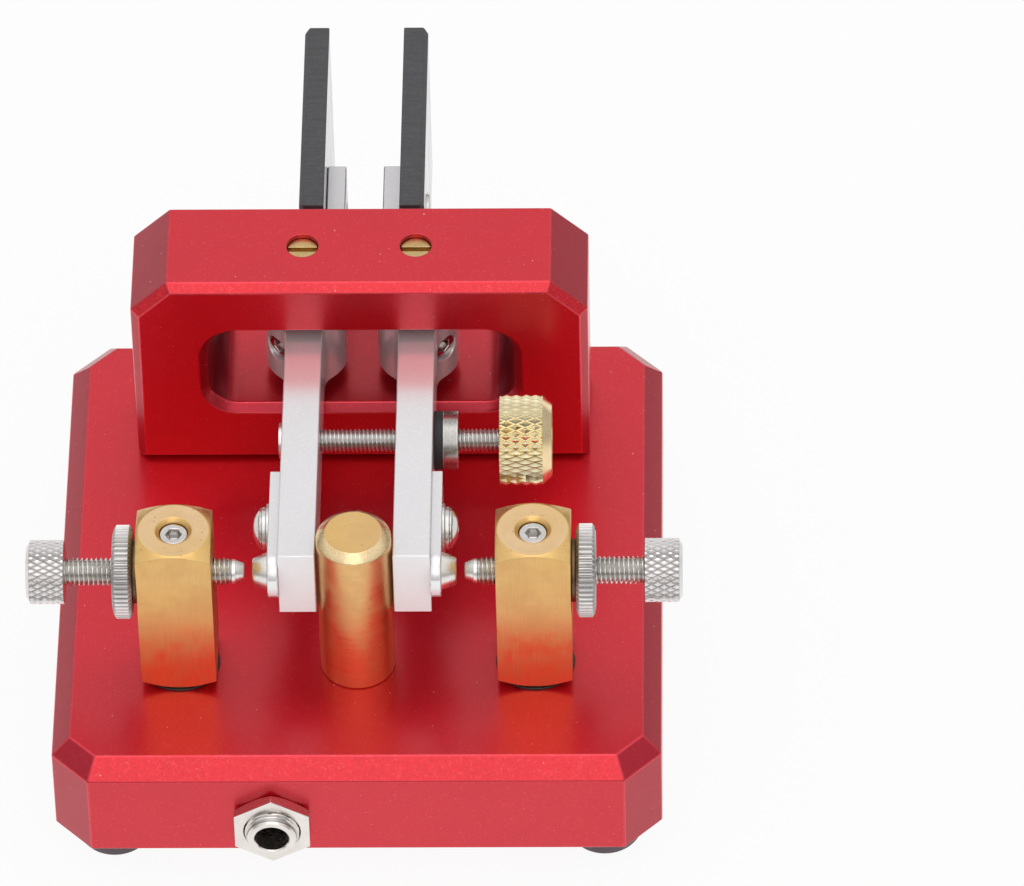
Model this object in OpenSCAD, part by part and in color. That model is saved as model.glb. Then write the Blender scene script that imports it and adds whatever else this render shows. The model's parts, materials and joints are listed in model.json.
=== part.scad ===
// Double paddle morse key: two levers pivot in a bridge, with contact posts, stop post and jack on a base.
// Sizes in millimetres. X runs across the key, Y from the jack to the paddles, Z up from the feet.

/* [Base plate] */
// Width across the contact posts
base_w = 65; // [62:0.5:80]
// Depth from the jack face to the paddle end
base_d = 65; // [62:0.5:80]
// Thickness
base_h = 12.5; // [11:0.25:16]
// Cut across each upright corner, measured along a side
base_corner = 4; // [2:0.25:6]
// Bevel round the top edge
base_bevel = 2; // [0.5:0.25:3]
// Depth of the wiring channel in the underside
channel_depth = 7.5; // [7.3:0.1:8.5]
// Metal between the jack face and the wiring channel
front_wall = 4; // [3:0.25:5]

/* [Rubber feet] */
// Diameter of a foot at the base plate
foot_d = 8.5; // [7:0.25:11]
// Height of a foot
foot_h = 3.75; // [2:0.25:5]
// Distance from the middle of a foot to the sides of the base plate
foot_inset = 6.2; // [6:0.1:8]

/* [Bridge] */
// Width
bridge_w = 49.3; // [46:0.1:56]
// Thickness from front to back
bridge_t = 13; // [11:0.25:15]
// Height above the base plate
bridge_h = 26.2; // [25.4:0.1:29]
// Distance from the bridge to the paddle end of the base plate
bridge_setback = 6; // [2:0.1:7]
// Cut across each top corner, measured along a side
bridge_corner = 4; // [2:0.25:6]
// Bevel along the front and back edges
bridge_bevel = 0.9; // [0.3:0.1:1.4]
// Bevel round the foot
bridge_foot = 0.6; // [0.2:0.1:1]
// Clear width of the window
window_w = 33.2; // [30:0.1:36]
// Height of the bar under the window
sill_h = 7.9; // [6.5:0.1:8.4]
// Height of the bar over the window
lintel_h = 7.3; // [6:0.1:8]
// Corner radius of the window
window_r = 3.3; // [1.5:0.1:4]
// Flare of the window at the front and the back
window_flare = 0.9; // [0.2:0.05:1.2]

/* [Levers] */
// Distance between the two pivots
pivot_gap = 12.2; // [11.6:0.1:15]
// Thickness of an arm
arm_w = 4; // [3.4:0.1:4.4]
// Height of a lever
lever_h = 8.6; // [7.6:0.1:9.6]
// Diameter of a pivot hub
hub_d = 8.9; // [8.4:0.1:10]
// Radius of the web between a hub and its arm
web_r = 2.3; // [1.2:0.1:4]
// Length of an arm past its contact stud
arm_tail = 1.5; // [0.8:0.1:2.5]
// Thickness of the tongue that carries a paddle
tongue_t = 2.05; // [1.6:0.05:2.4]
// Length of a tongue past the bridge
tongue_reach = 14.3; // [12:0.1:18]
// Gap between a lever and the bar over the window
lever_gap = 1; // [0.5:0.1:1.5]
// Gap between an arm and the stop post at rest
rest_gap = 0.1; // [0.05:0.05:0.3]

/* [Pivots] */
// Diameter of a pivot pin
pin_d = 2.5; // [2:0.1:2.8]
// Diameter of a pivot screw
pivot_screw_d = 3.3; // [3:0.1:4]
// Depth of an upper pivot screw under the top of the bridge
pivot_sink = 0.6; // [0.2:0.1:1.5]
// Gap between a hub and the end of its pivot screw
pivot_play = 0.3; // [0.15:0.05:0.5]

/* [Paddles] */
// Length
paddle_len = 28; // [24:0.5:36]
// Height
paddle_h = 21; // [16:0.5:24]
// Thickness
paddle_t = 2.7; // [2.2:0.1:3.5]
// Bevel round the outer face
paddle_bevel = 0.5; // [0.2:0.1:0.8]
// Gap between the bridge and a paddle
paddle_gap = 1.8; // [0.6:0.1:3]
// Distance from the near edge of a paddle to its first screw
paddle_screw_in = 3.6; // [3:0.1:4.5]
// Distance from the end of a tongue to the second screw
tongue_screw_in = 3.1; // [2.6:0.1:3.6]

/* [Posts] */
// Width of a square contact post
post_w = 8; // [7.2:0.1:9]
// Distance between the contact posts
post_gap = 38; // [36:0.25:44]
// Distance from the jack face to the middle of the posts
post_y = 15.6; // [15:0.1:18]
// Height of a contact post above its contact screw
post_over = 6.3; // [4.8:0.1:8]
// Height of the stop post above the levers
stop_over = 2.1; // [0.5:0.1:4]

/* [Contacts] */
// Height of the contact screws above the middle of the levers
contact_rise = 0.5; // [-1:0.1:1]
// Gap between a stud and its contact tip at rest
contact_gap = 0.9; // [0.4:0.05:1.5]
// Diameter of a contact screw
contact_screw_d = 3; // [2.6:0.1:3.4]
// Diameter of the head of a contact screw
head_d = 6.8; // [6:0.1:8]
// Length of the head of a contact screw
head_len = 4; // [3:0.1:6]
// Length of thread between a thumb nut and the head
screw_free = 5.2; // [3.5:0.1:8]
// Diameter of a thumb nut
nut_d = 10; // [8.5:0.1:11]
// Thickness of a thumb nut
nut_t = 2.1; // [1.6:0.1:3]
// Ribs round a thumb nut
nut_ribs = 52; // [36:2:60]
// Thickness of a contact strip
strip_t = 1.1; // [0.8:0.1:1.5]
// Height of a contact strip
strip_h = 5.5; // [4.8:0.1:6.5]
// Length of a contact strip ahead of its stud
strip_len = 12.1; // [11:0.1:13]
// Distance from a stud to the screw of its strip
strip_screw_ahead = 6.3; // [5.4:0.1:7.5]
// Length of a contact stud
stud_len = 1.6; // [1.2:0.1:1.8]

/* [Tension] */
// Distance of the tension screw from halfway between its magnet at the strips and its knob at the bridge
tension_shift = -0.6; // [-1:0.1:1]
// Diameter of the tension screw
tension_d = 2.5; // [2:0.1:3]
// Diameter of the knob
knob_d = 9.7; // [9:0.1:11]
// Length of the knob
knob_len = 5.6; // [5:0.1:8]
// Gap between the knob and the ring magnet
knob_gap = 4.4; // [3.5:0.05:6]
// Diameter of the ring magnets and the rubber washer
magnet_d = 6.3; // [5.6:0.1:7]
// Thickness of a ring magnet
magnet_t = 1.7; // [1.2:0.1:2.2]
// Thickness of the rubber washer
rubber_t = 0.95; // [0.6:0.05:1.5]

/* [Jack] */
// Diameter of the threaded bush
bush_d = 6; // [5.6:0.1:7]
// Diameter of the plug hole
plug_d = 3.6; // [3.5:0.05:4]
// Width of the nut across its flats
jack_nut_w = 8; // [7.6:0.1:9]
// Thickness of the nut
jack_nut_t = 1.4; // [1.2:0.1:3]
// Length of the bush in front of the nut
bush_proud = 1.1; // [0.4:0.1:3]
// Width of the body
jack_w = 8; // [7.6:0.1:8.4]
// Height of the body
jack_h = 6.4; // [5.8:0.1:6.6]
// Length of the body
jack_len = 11; // [9:0.25:11.5]
// Distance of the jack from halfway between left post and stop post
jack_shift = 0.45; // [-0.2:0.05:0.6]

/* [Fixings] */
// Diameter of the screws in the strips and the paddles
small_screw_d = 2.5; // [2:0.1:2.6]
// Head diameter of those screws
small_head_d = 4.4; // [4:0.1:5]
// Diameter of the grub screws
grub_d = 3; // [2.6:0.1:3.2]
// Diameter of the screws under the posts
post_screw_d = 3; // [2.6:0.1:3.4]
// Diameter of the screws under the bridge
bridge_screw_d = 4; // [3:0.25:4.5]
// Diameter of a wire
wire_d = 1; // [0.6:0.1:1.2]

/* [Hidden] */
$fn = 64;
// Clearance round a shank in its hole, and how far a cutter passes a face
fit = 0.05;
past = 1;
// Heights above the underside of the base plate
window_top = base_h + bridge_h - lintel_h;
lever_top = window_top - lever_gap;
lever_z = lever_top - lever_h;
lever_mid = lever_z + lever_h / 2;
contact_z = lever_mid + contact_rise;
post_foot = 0.2;
post_z = base_h + post_foot;
post_top = contact_z + post_over;
stop_top = lever_top + stop_over;
jack_z = channel_depth - jack_h / 2 - 0.1;
// Distances from the jack face
bridge_back = base_d - bridge_setback;
pivot_y = bridge_back - bridge_t / 2;
strip_end = post_y + strip_len;
bridge_front = bridge_back - bridge_t;
tension_y = (strip_end + magnet_d / 2 + bridge_front - knob_d / 2) / 2 + tension_shift;
tongue_end = bridge_back + tongue_reach;
paddle_y = bridge_back + paddle_gap;
paddle_end = paddle_y + paddle_len;
paddle_screw_y = [paddle_y + paddle_screw_in, tongue_end - tongue_screw_in];
jack_back = front_wall + jack_len;
jack_front = -jack_nut_t - bush_proud;
// Distances from the middle of the key
lever_x = pivot_gap / 2;
arm_in = lever_x - arm_w / 2;
arm_out = lever_x + arm_w / 2;
stop_d = 2 * (arm_in - rest_gap);
strip_out = arm_out + strip_t;
stud_out = strip_out + stud_len;
tip_x = stud_out + contact_gap;
post_x = post_gap / 2;
post_out = post_x + post_w / 2;
nut_x = post_out + 0.5;
head_x = nut_x + nut_t + screw_free;
magnet_x = arm_out + rubber_t;
knob_x = magnet_x + magnet_t + knob_gap;
leg_x = (bridge_w + window_w) / 4;
jack_x = jack_shift - post_x / 2;
// Radius of a pin's point, and the gap between it and its cup
pin_tip = 0.15;
cup_gap = 0.06;
// Hole in the right lever that leaves the tension screw free to swing
tension_free = tension_d + 1.4;
// Contact tip, contact stud and small washers
tip_len = 1.3;
tip_d = [0.63 * contact_screw_d, 0.9 * contact_screw_d];
tip_shank = [0.5 * contact_screw_d, 2.5];
stud_d = [4, 2.9];
stud_shank = [2, 0.9];
plain_washer = [small_head_d + 0.9, 0.3];
lock_washer = [small_head_d + 0.2, 0.5];
// Heads, seats and sockets of the screws
button_h = 1.05;
paddle_seat = paddle_t - 1.2;
paddle_head = 1.5;
tension_head = [1.56 * tension_d, 1.4, 0.45];
post_head = [1.85 * post_screw_d, 2];
bridge_head = [1.75 * bridge_screw_d, 4];
bridge_seat = base_h - 7;
bridge_bite = 9;
post_bite = 7;
// Depth of a grub screw in its post, and of the countersink over it
grub_sink = 0.5;
countersink = 0.4;
// Insulating bush, solder tags and wires in the channel
collar = [8, 0.8];
tag_ring = [6.4, 0.5];
post_seat = channel_depth - collar[1] - tag_ring[1];
stop_seat = channel_depth - tag_ring[1];
tag_reach = 4.2;
tag_w = 2;
jack_tag = [1.4, 3, 0.4];
jack_tag_x = [-2.6, 0, 2.6];
wire_start = jack_back + jack_tag.y + fit;
wire_end = post_y + tag_reach + fit;
wire_bend = 2;
wire_near = max(wire_start, wire_end) + wire_bend + 0.4;
wire_far = wire_near + 2 * wire_d;
channel_y = [post_y + 0.3 * collar[0], wire_far + wire_d / 2 + 0.8];
// Point of the key that stands at the origin, on the soles of the feet
mid_y = (paddle_end + jack_front) / 2;

// Placing

// From the middle of the jack face on the underside to the origin of the key
module key_frame()
  translate([0, -mid_y, foot_h])
    children();

// Left pieces are the right ones seen in a mirror
module on_side(side)
  key_frame()
    mirror([side < 0 ? 1 : 0, 0, 0])
      children();

// A line along +X from a point of the key
module along_x(x, y, z)
  translate([x, y, z])
    rotate([0, 90, 0])
      children();

// Shared shapes

// Points along an arc
function arc(centre, r, a0, a1, steps) =
  [for (i = [0:steps]) let (a = a0 + (a1 - a0) * i / steps) centre + r * [cos(a), sin(a)]];

// Prism that bevels an edge along X, with its solid below and behind the edge
module edge_cutter(length, bevel)
  rotate([90, 0, 90])
    linear_extrude(length, center = true)
      polygon([[-bevel - past, past], [past, past], [past, -bevel - past]]);

module rounded_rect(w, h, r) {
  square([w - 2 * r, h], center = true);
  square([w, h - 2 * r], center = true);
  for (sx = [-1, 1], sy = [-1, 1])
    translate([sx * (w / 2 - r), sy * (h / 2 - r)])
      circle(r);
}

// Disc with a hole, standing on its face
module ring(outer_d, hole_d, t)
  linear_extrude(t)
    difference() {
      circle(d = outer_d);
      circle(d = hole_d);
    }

// Hexagon recess that opens upward at height 0
module hex_socket(flats, depth)
  translate([0, 0, -depth])
    cylinder(d = flats / cos(30), h = depth + past, $fn = 6);

// Headless screw with its socket at the top and its top at height 0
module grub(length)
  difference() {
    translate([0, 0, -length])
      cylinder(d = grub_d, h = length);
    hex_socket(grub_d / 2, min(length / 2, 1.5));
  }

// Base plate

module base_outline() {
  x = base_w / 2;
  y = base_d / 2;
  c = base_corner;
  polygon([[x - c, -y], [x, c - y], [x, y - c], [x - c, y],
    [c - x, y], [-x, y - c], [-x, c - y], [c - x, -y]]);
}

module base_blank()
  difference() {
    linear_extrude(base_h)
      base_outline();
    for (i = [0:3])
      rotate([0, 0, 90 * i])
        translate([0, (i % 2 == 0 ? base_d : base_w) / 2, base_h])
          edge_cutter(2 * (base_w + base_d), base_bevel);
    for (sx = [-1, 1], sy = [-1, 1])
      translate([sx * (base_w - base_corner) / 2, sy * (base_d - base_corner) / 2, base_h])
        rotate([0, 0, atan2(sy, sx) - 90])
          edge_cutter(2 * (base_w + base_d), base_bevel);
  }

// Hollows of the underside, from below it up to the channel's roof
module wiring_channel()
  translate([0, 0, -past])
    linear_extrude(channel_depth + past) {
      for (x = [-post_x, post_x])
        translate([x, post_y])
          circle(d = collar[0] + 0.8);
      translate([0, post_y])
        circle(d = tag_ring[0] + 0.6);
      translate([0, (channel_y[0] + channel_y[1]) / 2])
        rounded_rect(2 * post_x + collar[0], channel_y[1] - channel_y[0], 1.5);
      translate([jack_x - jack_w / 2 - 0.4, front_wall])
        square([jack_w + 0.8, channel_y[0] + 2 - front_wall]);
    }

module base_plate()
  color([0.70, 0.06, 0.12])
    key_frame()
      difference() {
        translate([0, base_d / 2, 0])
          base_blank();
        wiring_channel();
        for (x = [-post_x, post_x])
          translate([x, post_y, 0])
            cylinder(d = post_screw_d + 2 + 2 * fit, h = base_h + past);
        translate([0, post_y, 0])
          cylinder(d = post_screw_d + 2 * fit, h = base_h + past);
        for (x = [-leg_x, leg_x])
          translate([x, pivot_y, -past]) {
            cylinder(d = bridge_screw_d + 2 * fit, h = base_h + 2 * past);
            cylinder(d = bridge_head[0] + 0.6, h = bridge_seat + past);
          }
        translate([jack_x, front_wall + past, jack_z])
          rotate([90, 0, 0])
            cylinder(d = bush_d + 2 * fit, h = front_wall + 2 * past);
      }

module rubber_feet()
  color([0.09, 0.09, 0.09])
    key_frame()
      for (x = [foot_inset - base_w / 2, base_w / 2 - foot_inset], y = [foot_inset, base_d - foot_inset])
        translate([x, y, -foot_h])
          rotate_extrude()
            polygon([[0, 0], [0.44 * foot_d, 0], [0.47 * foot_d, 0.3], [foot_d / 2, foot_h], [0, foot_h]]);

// Bridge

// The outline stands on Y = 0 and is as thick as the bridge along Z
module bridge_blank()
  difference() {
    linear_extrude(bridge_t)
      polygon([[bridge_foot - bridge_w / 2, 0], [bridge_w / 2 - bridge_foot, 0], [bridge_w / 2, bridge_foot],
        [bridge_w / 2, bridge_h - bridge_corner], [bridge_w / 2 - bridge_corner, bridge_h],
        [bridge_corner - bridge_w / 2, bridge_h], [-bridge_w / 2, bridge_h - bridge_corner],
        [-bridge_w / 2, bridge_foot]]);
    for (face = [0, 1])
      translate([0, 0, face * bridge_t])
        mirror([0, 0, 1 - face])
          rotate([0, 0, 180])
            edge_cutter(2 * bridge_w, bridge_foot);
    for (face = [0, 1], i = [-2:2]) {
      half = bridge_w / 2;
      edge = [[0, bridge_h], [half - bridge_corner / 2, bridge_h - bridge_corner / 2], [half, 0]];
      translate([-sign(i) * edge[abs(i)].x, edge[abs(i)].y, face * bridge_t])
        mirror([0, 0, 1 - face])
          rotate([0, 0, 45 * i])
            edge_cutter(4 * (bridge_w + bridge_h), bridge_bevel);
    }
  }

// Widening of the window, from its clear size at height 0
module flare_cutter(w, h) {
  deep = window_flare + past;
  rotate([90, 0, 90])
    linear_extrude(w - 2 * window_r, center = true)
      polygon([[-h / 2, 0], [h / 2, 0], [h / 2 + deep, deep], [-h / 2 - deep, deep]]);
  rotate([90, 0, 0])
    linear_extrude(h - 2 * window_r, center = true)
      polygon([[-w / 2, 0], [w / 2, 0], [w / 2 + deep, deep], [-w / 2 - deep, deep]]);
  for (sx = [-1, 1], sy = [-1, 1])
    translate([sx * (w / 2 - window_r), sy * (h / 2 - window_r), 0])
      cylinder(r1 = window_r, r2 = window_r + deep, h = deep);
}

module window_cutter() {
  h = bridge_h - sill_h - lintel_h;
  translate([0, sill_h + h / 2, 0]) {
    translate([0, 0, -past])
      linear_extrude(bridge_t + 2 * past)
        rounded_rect(window_w, h, window_r);
    translate([0, 0, bridge_t - window_flare])
      flare_cutter(window_w, h);
    translate([0, 0, window_flare])
      mirror([0, 0, 1])
        flare_cutter(window_w, h);
  }
}

module bridge()
  color([0.66, 0.06, 0.11])
    key_frame()
      difference() {
        translate([0, bridge_back, base_h])
          rotate([90, 0, 0])
            difference() {
              bridge_blank();
              window_cutter();
            }
        for (x = [-lever_x, lever_x])
          translate([x, pivot_y, base_h - past])
            cylinder(d = pivot_screw_d + 2 * fit, h = bridge_h + 2 * past);
        for (x = [-leg_x, leg_x])
          translate([x, pivot_y, base_h - past])
            cylinder(d = bridge_screw_d + 2 * fit, h = bridge_bite + 2 * past);
      }

module bridge_screws()
  color([0.25, 0.25, 0.27])
    key_frame()
      for (x = [-leg_x, leg_x])
        translate([x, pivot_y, bridge_seat])
          difference() {
            union() {
              cylinder(d = bridge_screw_d, h = base_h - bridge_seat + bridge_bite);
              translate([0, 0, -bridge_head[1]])
                cylinder(d = bridge_head[0], h = bridge_head[1]);
            }
            translate([0, 0, -bridge_head[1]])
              mirror([0, 0, 1])
                hex_socket(0.75 * bridge_screw_d, bridge_head[1] / 2);
          }

// Pivots

// Screw from its cup at height 0 up to its slot
module pivot_screw(length)
  difference() {
    cylinder(d = pivot_screw_d, h = length);
    cup = pin_d / 2 - pivot_play - pin_tip + cup_gap;
    translate([0, 0, -past])
      cylinder(r1 = cup + pin_tip + past, r2 = pin_tip, h = cup + past);
    translate([-pivot_screw_d, -0.3, length - 0.8])
      cube([2 * pivot_screw_d, 0.6, 0.8 + past]);
  }

module upper_pivot_screws()
  color([0.80, 0.66, 0.32])
    key_frame()
      for (x = [-lever_x, lever_x])
        translate([x, pivot_y, lever_top + pivot_play])
          pivot_screw(lintel_h + lever_gap - pivot_play - pivot_sink);

module lower_pivot_screws()
  color([0.80, 0.66, 0.32])
    key_frame()
      for (x = [-lever_x, lever_x])
        translate([x, pivot_y, lever_z - pivot_play])
          mirror([0, 0, 1])
            pivot_screw(lever_z - pivot_play - base_h - pivot_sink);

module pivot_pin(side)
  color([0.62, 0.63, 0.65])
    on_side(side)
      translate([lever_x, pivot_y, lever_z])
        rotate_extrude()
          polygon([[0, pin_tip - pin_d / 2], [pin_tip, pin_tip - pin_d / 2],
            [pin_d / 2, 0], [pin_d / 2, lever_h],
            [pin_tip, lever_h + pin_d / 2 - pin_tip], [0, lever_h + pin_d / 2 - pin_tip]]);

module left_pivot_pin() pivot_pin(-1);
module right_pivot_pin() pivot_pin(1);

// Levers

// Plan of the right lever round its pivot: arm to -Y, tongue to +Y, hub and webs between them
module lever_plan() {
  r = hub_d / 2;
  half = arm_w / 2;
  inner = half + tongue_t;
  tail = pivot_y + arm_tail - post_y;
  reach = tongue_end - pivot_y;
  web_y = sqrt(pow(r + web_r, 2) - pow(half + web_r, 2));
  web_a = atan2(web_y, half + web_r);
  low_r = 0.6 * web_r;
  low_y = sqrt(pow(r + low_r, 2) - pow(low_r - half, 2));
  low_a = atan2(low_y, low_r - half);
  polygon(concat([[-half, -tail], [half, -tail]],
    arc([half + web_r, -web_y], web_r, 180, 180 - web_a, 8),
    arc([0, 0], r, -web_a, low_a, 24),
    arc([low_r - half, low_y], low_r, 180 + low_a, 180, 8),
    [[-half, reach], [-inner, reach]],
    arc([0, 0], r, 180 - asin(min(1, sqrt(max(0, r * r - inner * inner)) / r)), 180 + web_a, 8),
    arc([-half - web_r, -web_y], web_r, web_a, 0, 8)));
}

// Drills a hole of some depth into the outer face of the right lever
module face_hole(y, z, d, depth)
  along_x(arm_out - depth, y, z)
    cylinder(d = d, h = depth + past);

module lever(side, tension_hole, tension_sink)
  color([0.76, 0.76, 0.77])
    on_side(side)
      difference() {
        translate([lever_x, pivot_y, lever_z])
          linear_extrude(lever_h)
            lever_plan();
        translate([lever_x, pivot_y, lever_z - past])
          cylinder(d = pin_d + 2 * fit, h = lever_h + 2 * past);
        translate([lever_x, pivot_y, lever_mid])
          rotate([0, 90, -45])
            cylinder(d = grub_d + 2 * fit, h = hub_d);
        face_hole(post_y, contact_z, stud_shank[0] + 2 * fit, stud_shank[1] + 0.2);
        face_hole(post_y + strip_screw_ahead, contact_z, small_screw_d + 2 * fit, 3);
        face_hole(tension_y, lever_mid, tension_hole, arm_w + past);
        face_hole(tension_y, lever_mid, tension_head[0] + 2 * fit, tension_sink);
        for (y = paddle_screw_y)
          along_x(arm_in - tongue_t - past, y, lever_mid)
            cylinder(d = small_screw_d + 2 * fit, h = tongue_t + 2 * past);
      }

module left_lever() lever(-1, tension_d + 2 * fit, tension_head[1] - tension_head[2]);
module right_lever() lever(1, tension_free, 0);

module hub_screw(side)
  color([0.42, 0.42, 0.44])
    on_side(side)
      translate([lever_x, pivot_y, lever_mid])
        rotate([0, 90, -45])
          translate([0, 0, hub_d / 2 - 0.45])
            grub(hub_d / 2 - 0.45 - pin_d / 2 - fit);

module left_hub_screw() hub_screw(-1);
module right_hub_screw() hub_screw(1);

// Paddles

module paddle(side)
  color([0.13, 0.13, 0.14])
    on_side(side)
      difference() {
        translate([arm_in, paddle_y, lever_mid - paddle_h / 2])
          cube([paddle_t, paddle_len, paddle_h]);
        along_x(arm_in + paddle_t, paddle_y + paddle_len / 2, lever_mid)
          for (i = [0:3])
            rotate([0, 0, 90 * i])
              translate([0, (i % 2 == 0 ? paddle_len : paddle_h) / 2, 0])
                edge_cutter(4 * (paddle_len + paddle_h), paddle_bevel);
        for (y = paddle_screw_y)
          along_x(arm_in, y, lever_mid) {
            translate([0, 0, -past])
              cylinder(d = small_screw_d + 2 * fit, h = paddle_t + 2 * past);
            translate([0, 0, paddle_seat])
              cylinder(d = small_head_d + 2 * fit, h = paddle_t);
          }
      }

module left_paddle() paddle(-1);
module right_paddle() paddle(1);

module paddle_screws(side)
  color([0.70, 0.70, 0.72])
    on_side(side)
      for (y = paddle_screw_y)
        along_x(arm_in + paddle_seat, y, lever_mid)
          difference() {
            union() {
              cylinder(d = small_head_d, h = paddle_head);
              translate([0, 0, 0.2 - paddle_seat - tongue_t])
                cylinder(d = small_screw_d, h = paddle_seat + tongue_t);
            }
            translate([0, 0, paddle_head])
              hex_socket(0.6 * small_screw_d, 0.9);
          }

module left_paddle_screws() paddle_screws(-1);
module right_paddle_screws() paddle_screws(1);

// Contact strips on the levers

module strip(side)
  color([0.80, 0.78, 0.72])
    on_side(side)
      translate([arm_out, 0, contact_z])
        rotate([90, 0, 90])
          linear_extrude(strip_t)
            difference() {
              union() {
                translate([post_y, 0])
                  circle(d = strip_h);
                translate([post_y, -strip_h / 2])
                  square([strip_len, strip_h]);
              }
              translate([post_y, 0])
                circle(d = stud_shank[0] + 2 * fit);
              translate([post_y + strip_screw_ahead, 0])
                circle(d = small_screw_d + 2 * fit);
            }

module left_strip() strip(-1);
module right_strip() strip(1);

module stud(side)
  color([0.84, 0.83, 0.80])
    on_side(side)
      along_x(strip_out, post_y, contact_z) {
        cylinder(d1 = stud_d[0], d2 = stud_d[1], h = stud_len);
        translate([0, 0, -strip_t - stud_shank[1]])
          cylinder(d = stud_shank[0], h = strip_t + stud_shank[1]);
      }

module left_stud() stud(-1);
module right_stud() stud(1);

module strip_washer(side)
  color([0.62, 0.62, 0.64])
    on_side(side)
      along_x(strip_out, post_y + strip_screw_ahead, contact_z)
        ring(plain_washer[0], small_screw_d + 2 * fit, plain_washer[1]);

module left_strip_washer() strip_washer(-1);
module right_strip_washer() strip_washer(1);

module spring_washer(side)
  color([0.52, 0.52, 0.54])
    on_side(side)
      along_x(strip_out + plain_washer[1], post_y + strip_screw_ahead, contact_z)
        difference() {
          ring(lock_washer[0], small_screw_d + 2 * fit, lock_washer[1]);
          translate([-0.2, 0, -past])
            cube([0.4, lock_washer[0], lock_washer[1] + 2 * past]);
        }

module left_spring_washer() spring_washer(-1);
module right_spring_washer() spring_washer(1);

module strip_screw(side)
  color([0.66, 0.66, 0.68])
    on_side(side)
      along_x(strip_out + plain_washer[1] + lock_washer[1], post_y + strip_screw_ahead, contact_z)
        difference() {
          union() {
            intersection() {
              cylinder(d = small_head_d, h = button_h);
              translate([0, 0, button_h - 0.75 * small_head_d])
                sphere(r = 0.75 * small_head_d);
            }
            translate([0, 0, -2.8 - strip_t - plain_washer[1] - lock_washer[1]])
              cylinder(d = small_screw_d, h = 2.8 + strip_t + plain_washer[1] + lock_washer[1]);
          }
          translate([0, 0, button_h])
            hex_socket(0.6 * small_screw_d, 0.8);
        }

module left_strip_screw() strip_screw(-1);
module right_strip_screw() strip_screw(1);

// Posts

// Square bar turned to a 30 degree chamfer at both ends
module contact_post(side)
  color([0.78, 0.62, 0.28])
    on_side(side)
      difference() {
        translate([post_x, post_y, post_z])
          intersection() {
            translate([-post_w / 2, -post_w / 2, 0])
              cube([post_w, post_w, post_top - post_z]);
            rotate_extrude() {
              h = post_top - post_z;
              r = 0.475 * post_w;
              drop = r / 2 * tan(30);
              polygon([[0, 0], [r, 0], [1.5 * r, drop], [1.5 * r, h - drop], [r, h], [0, h]]);
            }
          }
        along_x(post_x - post_w, post_y, contact_z)
          cylinder(d = contact_screw_d + 2 * fit, h = 2 * post_w);
        translate([post_x, post_y, contact_z])
          cylinder(d = grub_d + 2 * fit, h = post_over + past);
        translate([post_x, post_y, post_top - countersink])
          cylinder(r1 = grub_d / 2 + fit, r2 = grub_d / 2 + fit + countersink + past, h = countersink + past);
        translate([post_x, post_y, post_z - past])
          cylinder(d = post_screw_d + 2 * fit, h = post_bite + 2 * past);
      }

module left_contact_post() contact_post(-1);
module right_contact_post() contact_post(1);

module post_grub_screws()
  color([0.35, 0.35, 0.37])
    for (side = [-1, 1])
      on_side(side)
        translate([post_x, post_y, post_top - grub_sink])
          grub(post_over - grub_sink - contact_screw_d / 2 - fit);

module stop_post()
  color([0.78, 0.62, 0.28])
    key_frame()
      translate([0, post_y, base_h])
        difference() {
          h = stop_top - base_h;
          rotate_extrude()
            polygon([[0, 0], [stop_d / 2, 0], [stop_d / 2, h - 0.7], [stop_d / 2 - 0.7, h], [0, h]]);
          translate([0, 0, -past])
            cylinder(d = post_screw_d + 2 * fit, h = post_bite + 2 * past);
        }

// Insulation, screws and tags under the posts

module post_washers()
  color([0.12, 0.12, 0.12])
    for (side = [-1, 1])
      on_side(side)
        translate([post_x, post_y, base_h])
          ring(1.06 * post_w, post_screw_d + 2 + 4 * fit, post_foot);

module post_bushes()
  color([0.90, 0.90, 0.86])
    for (side = [-1, 1])
      on_side(side)
        translate([post_x, post_y, channel_depth - collar[1]])
          difference() {
            union() {
              cylinder(d = collar[0], h = collar[1]);
              cylinder(d = post_screw_d + 2, h = collar[1] + base_h - channel_depth + post_foot / 2);
            }
            translate([0, 0, -past])
              cylinder(d = post_screw_d + 2 * fit, h = base_h);
          }

// Screw with its seat at height 0 and its head below
module post_screw(length)
  difference() {
    union() {
      cylinder(d = post_screw_d, h = length);
      translate([0, 0, -post_head[1]])
        cylinder(d = post_head[0], h = post_head[1]);
    }
    translate([0, 0, -post_head[1]])
      mirror([0, 0, 1])
        hex_socket(0.7 * post_screw_d, post_head[1] / 2);
  }

module post_screws()
  color([0.70, 0.70, 0.72])
    for (side = [-1, 1])
      on_side(side)
        translate([post_x, post_y, post_seat])
          post_screw(post_z + post_bite - post_seat);

module stop_post_screw()
  color([0.70, 0.70, 0.72])
    key_frame()
      translate([0, post_y, stop_seat])
        post_screw(base_h + post_bite - stop_seat);

// Ring over the screw head, with a tongue turned down to meet its wire
module solder_tag(x, seat)
  key_frame()
    translate([x, post_y, seat])
      difference() {
        union() {
          cylinder(d = tag_ring[0], h = tag_ring[1]);
          translate([-tag_w / 2, 0, 0])
            cube([tag_w, tag_reach, tag_ring[1]]);
          translate([-tag_w / 2, tag_reach - 0.5, jack_z - 0.8 - seat])
            cube([tag_w, 0.5, seat - jack_z + 0.8]);
        }
        translate([0, 0, -past])
          cylinder(d = post_screw_d + 4 * fit, h = tag_ring[1] + 2 * past);
      }

module solder_tags()
  color([0.75, 0.74, 0.70]) {
    solder_tag(-post_x, post_seat);
    solder_tag(0, stop_seat);
    solder_tag(post_x, post_seat);
  }

// Jack

// Along -Y from the channel side of the front wall, round the plug's line
module at_jack()
  key_frame()
    translate([jack_x, front_wall, jack_z])
      rotate([90, 0, 0])
        children();

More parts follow.
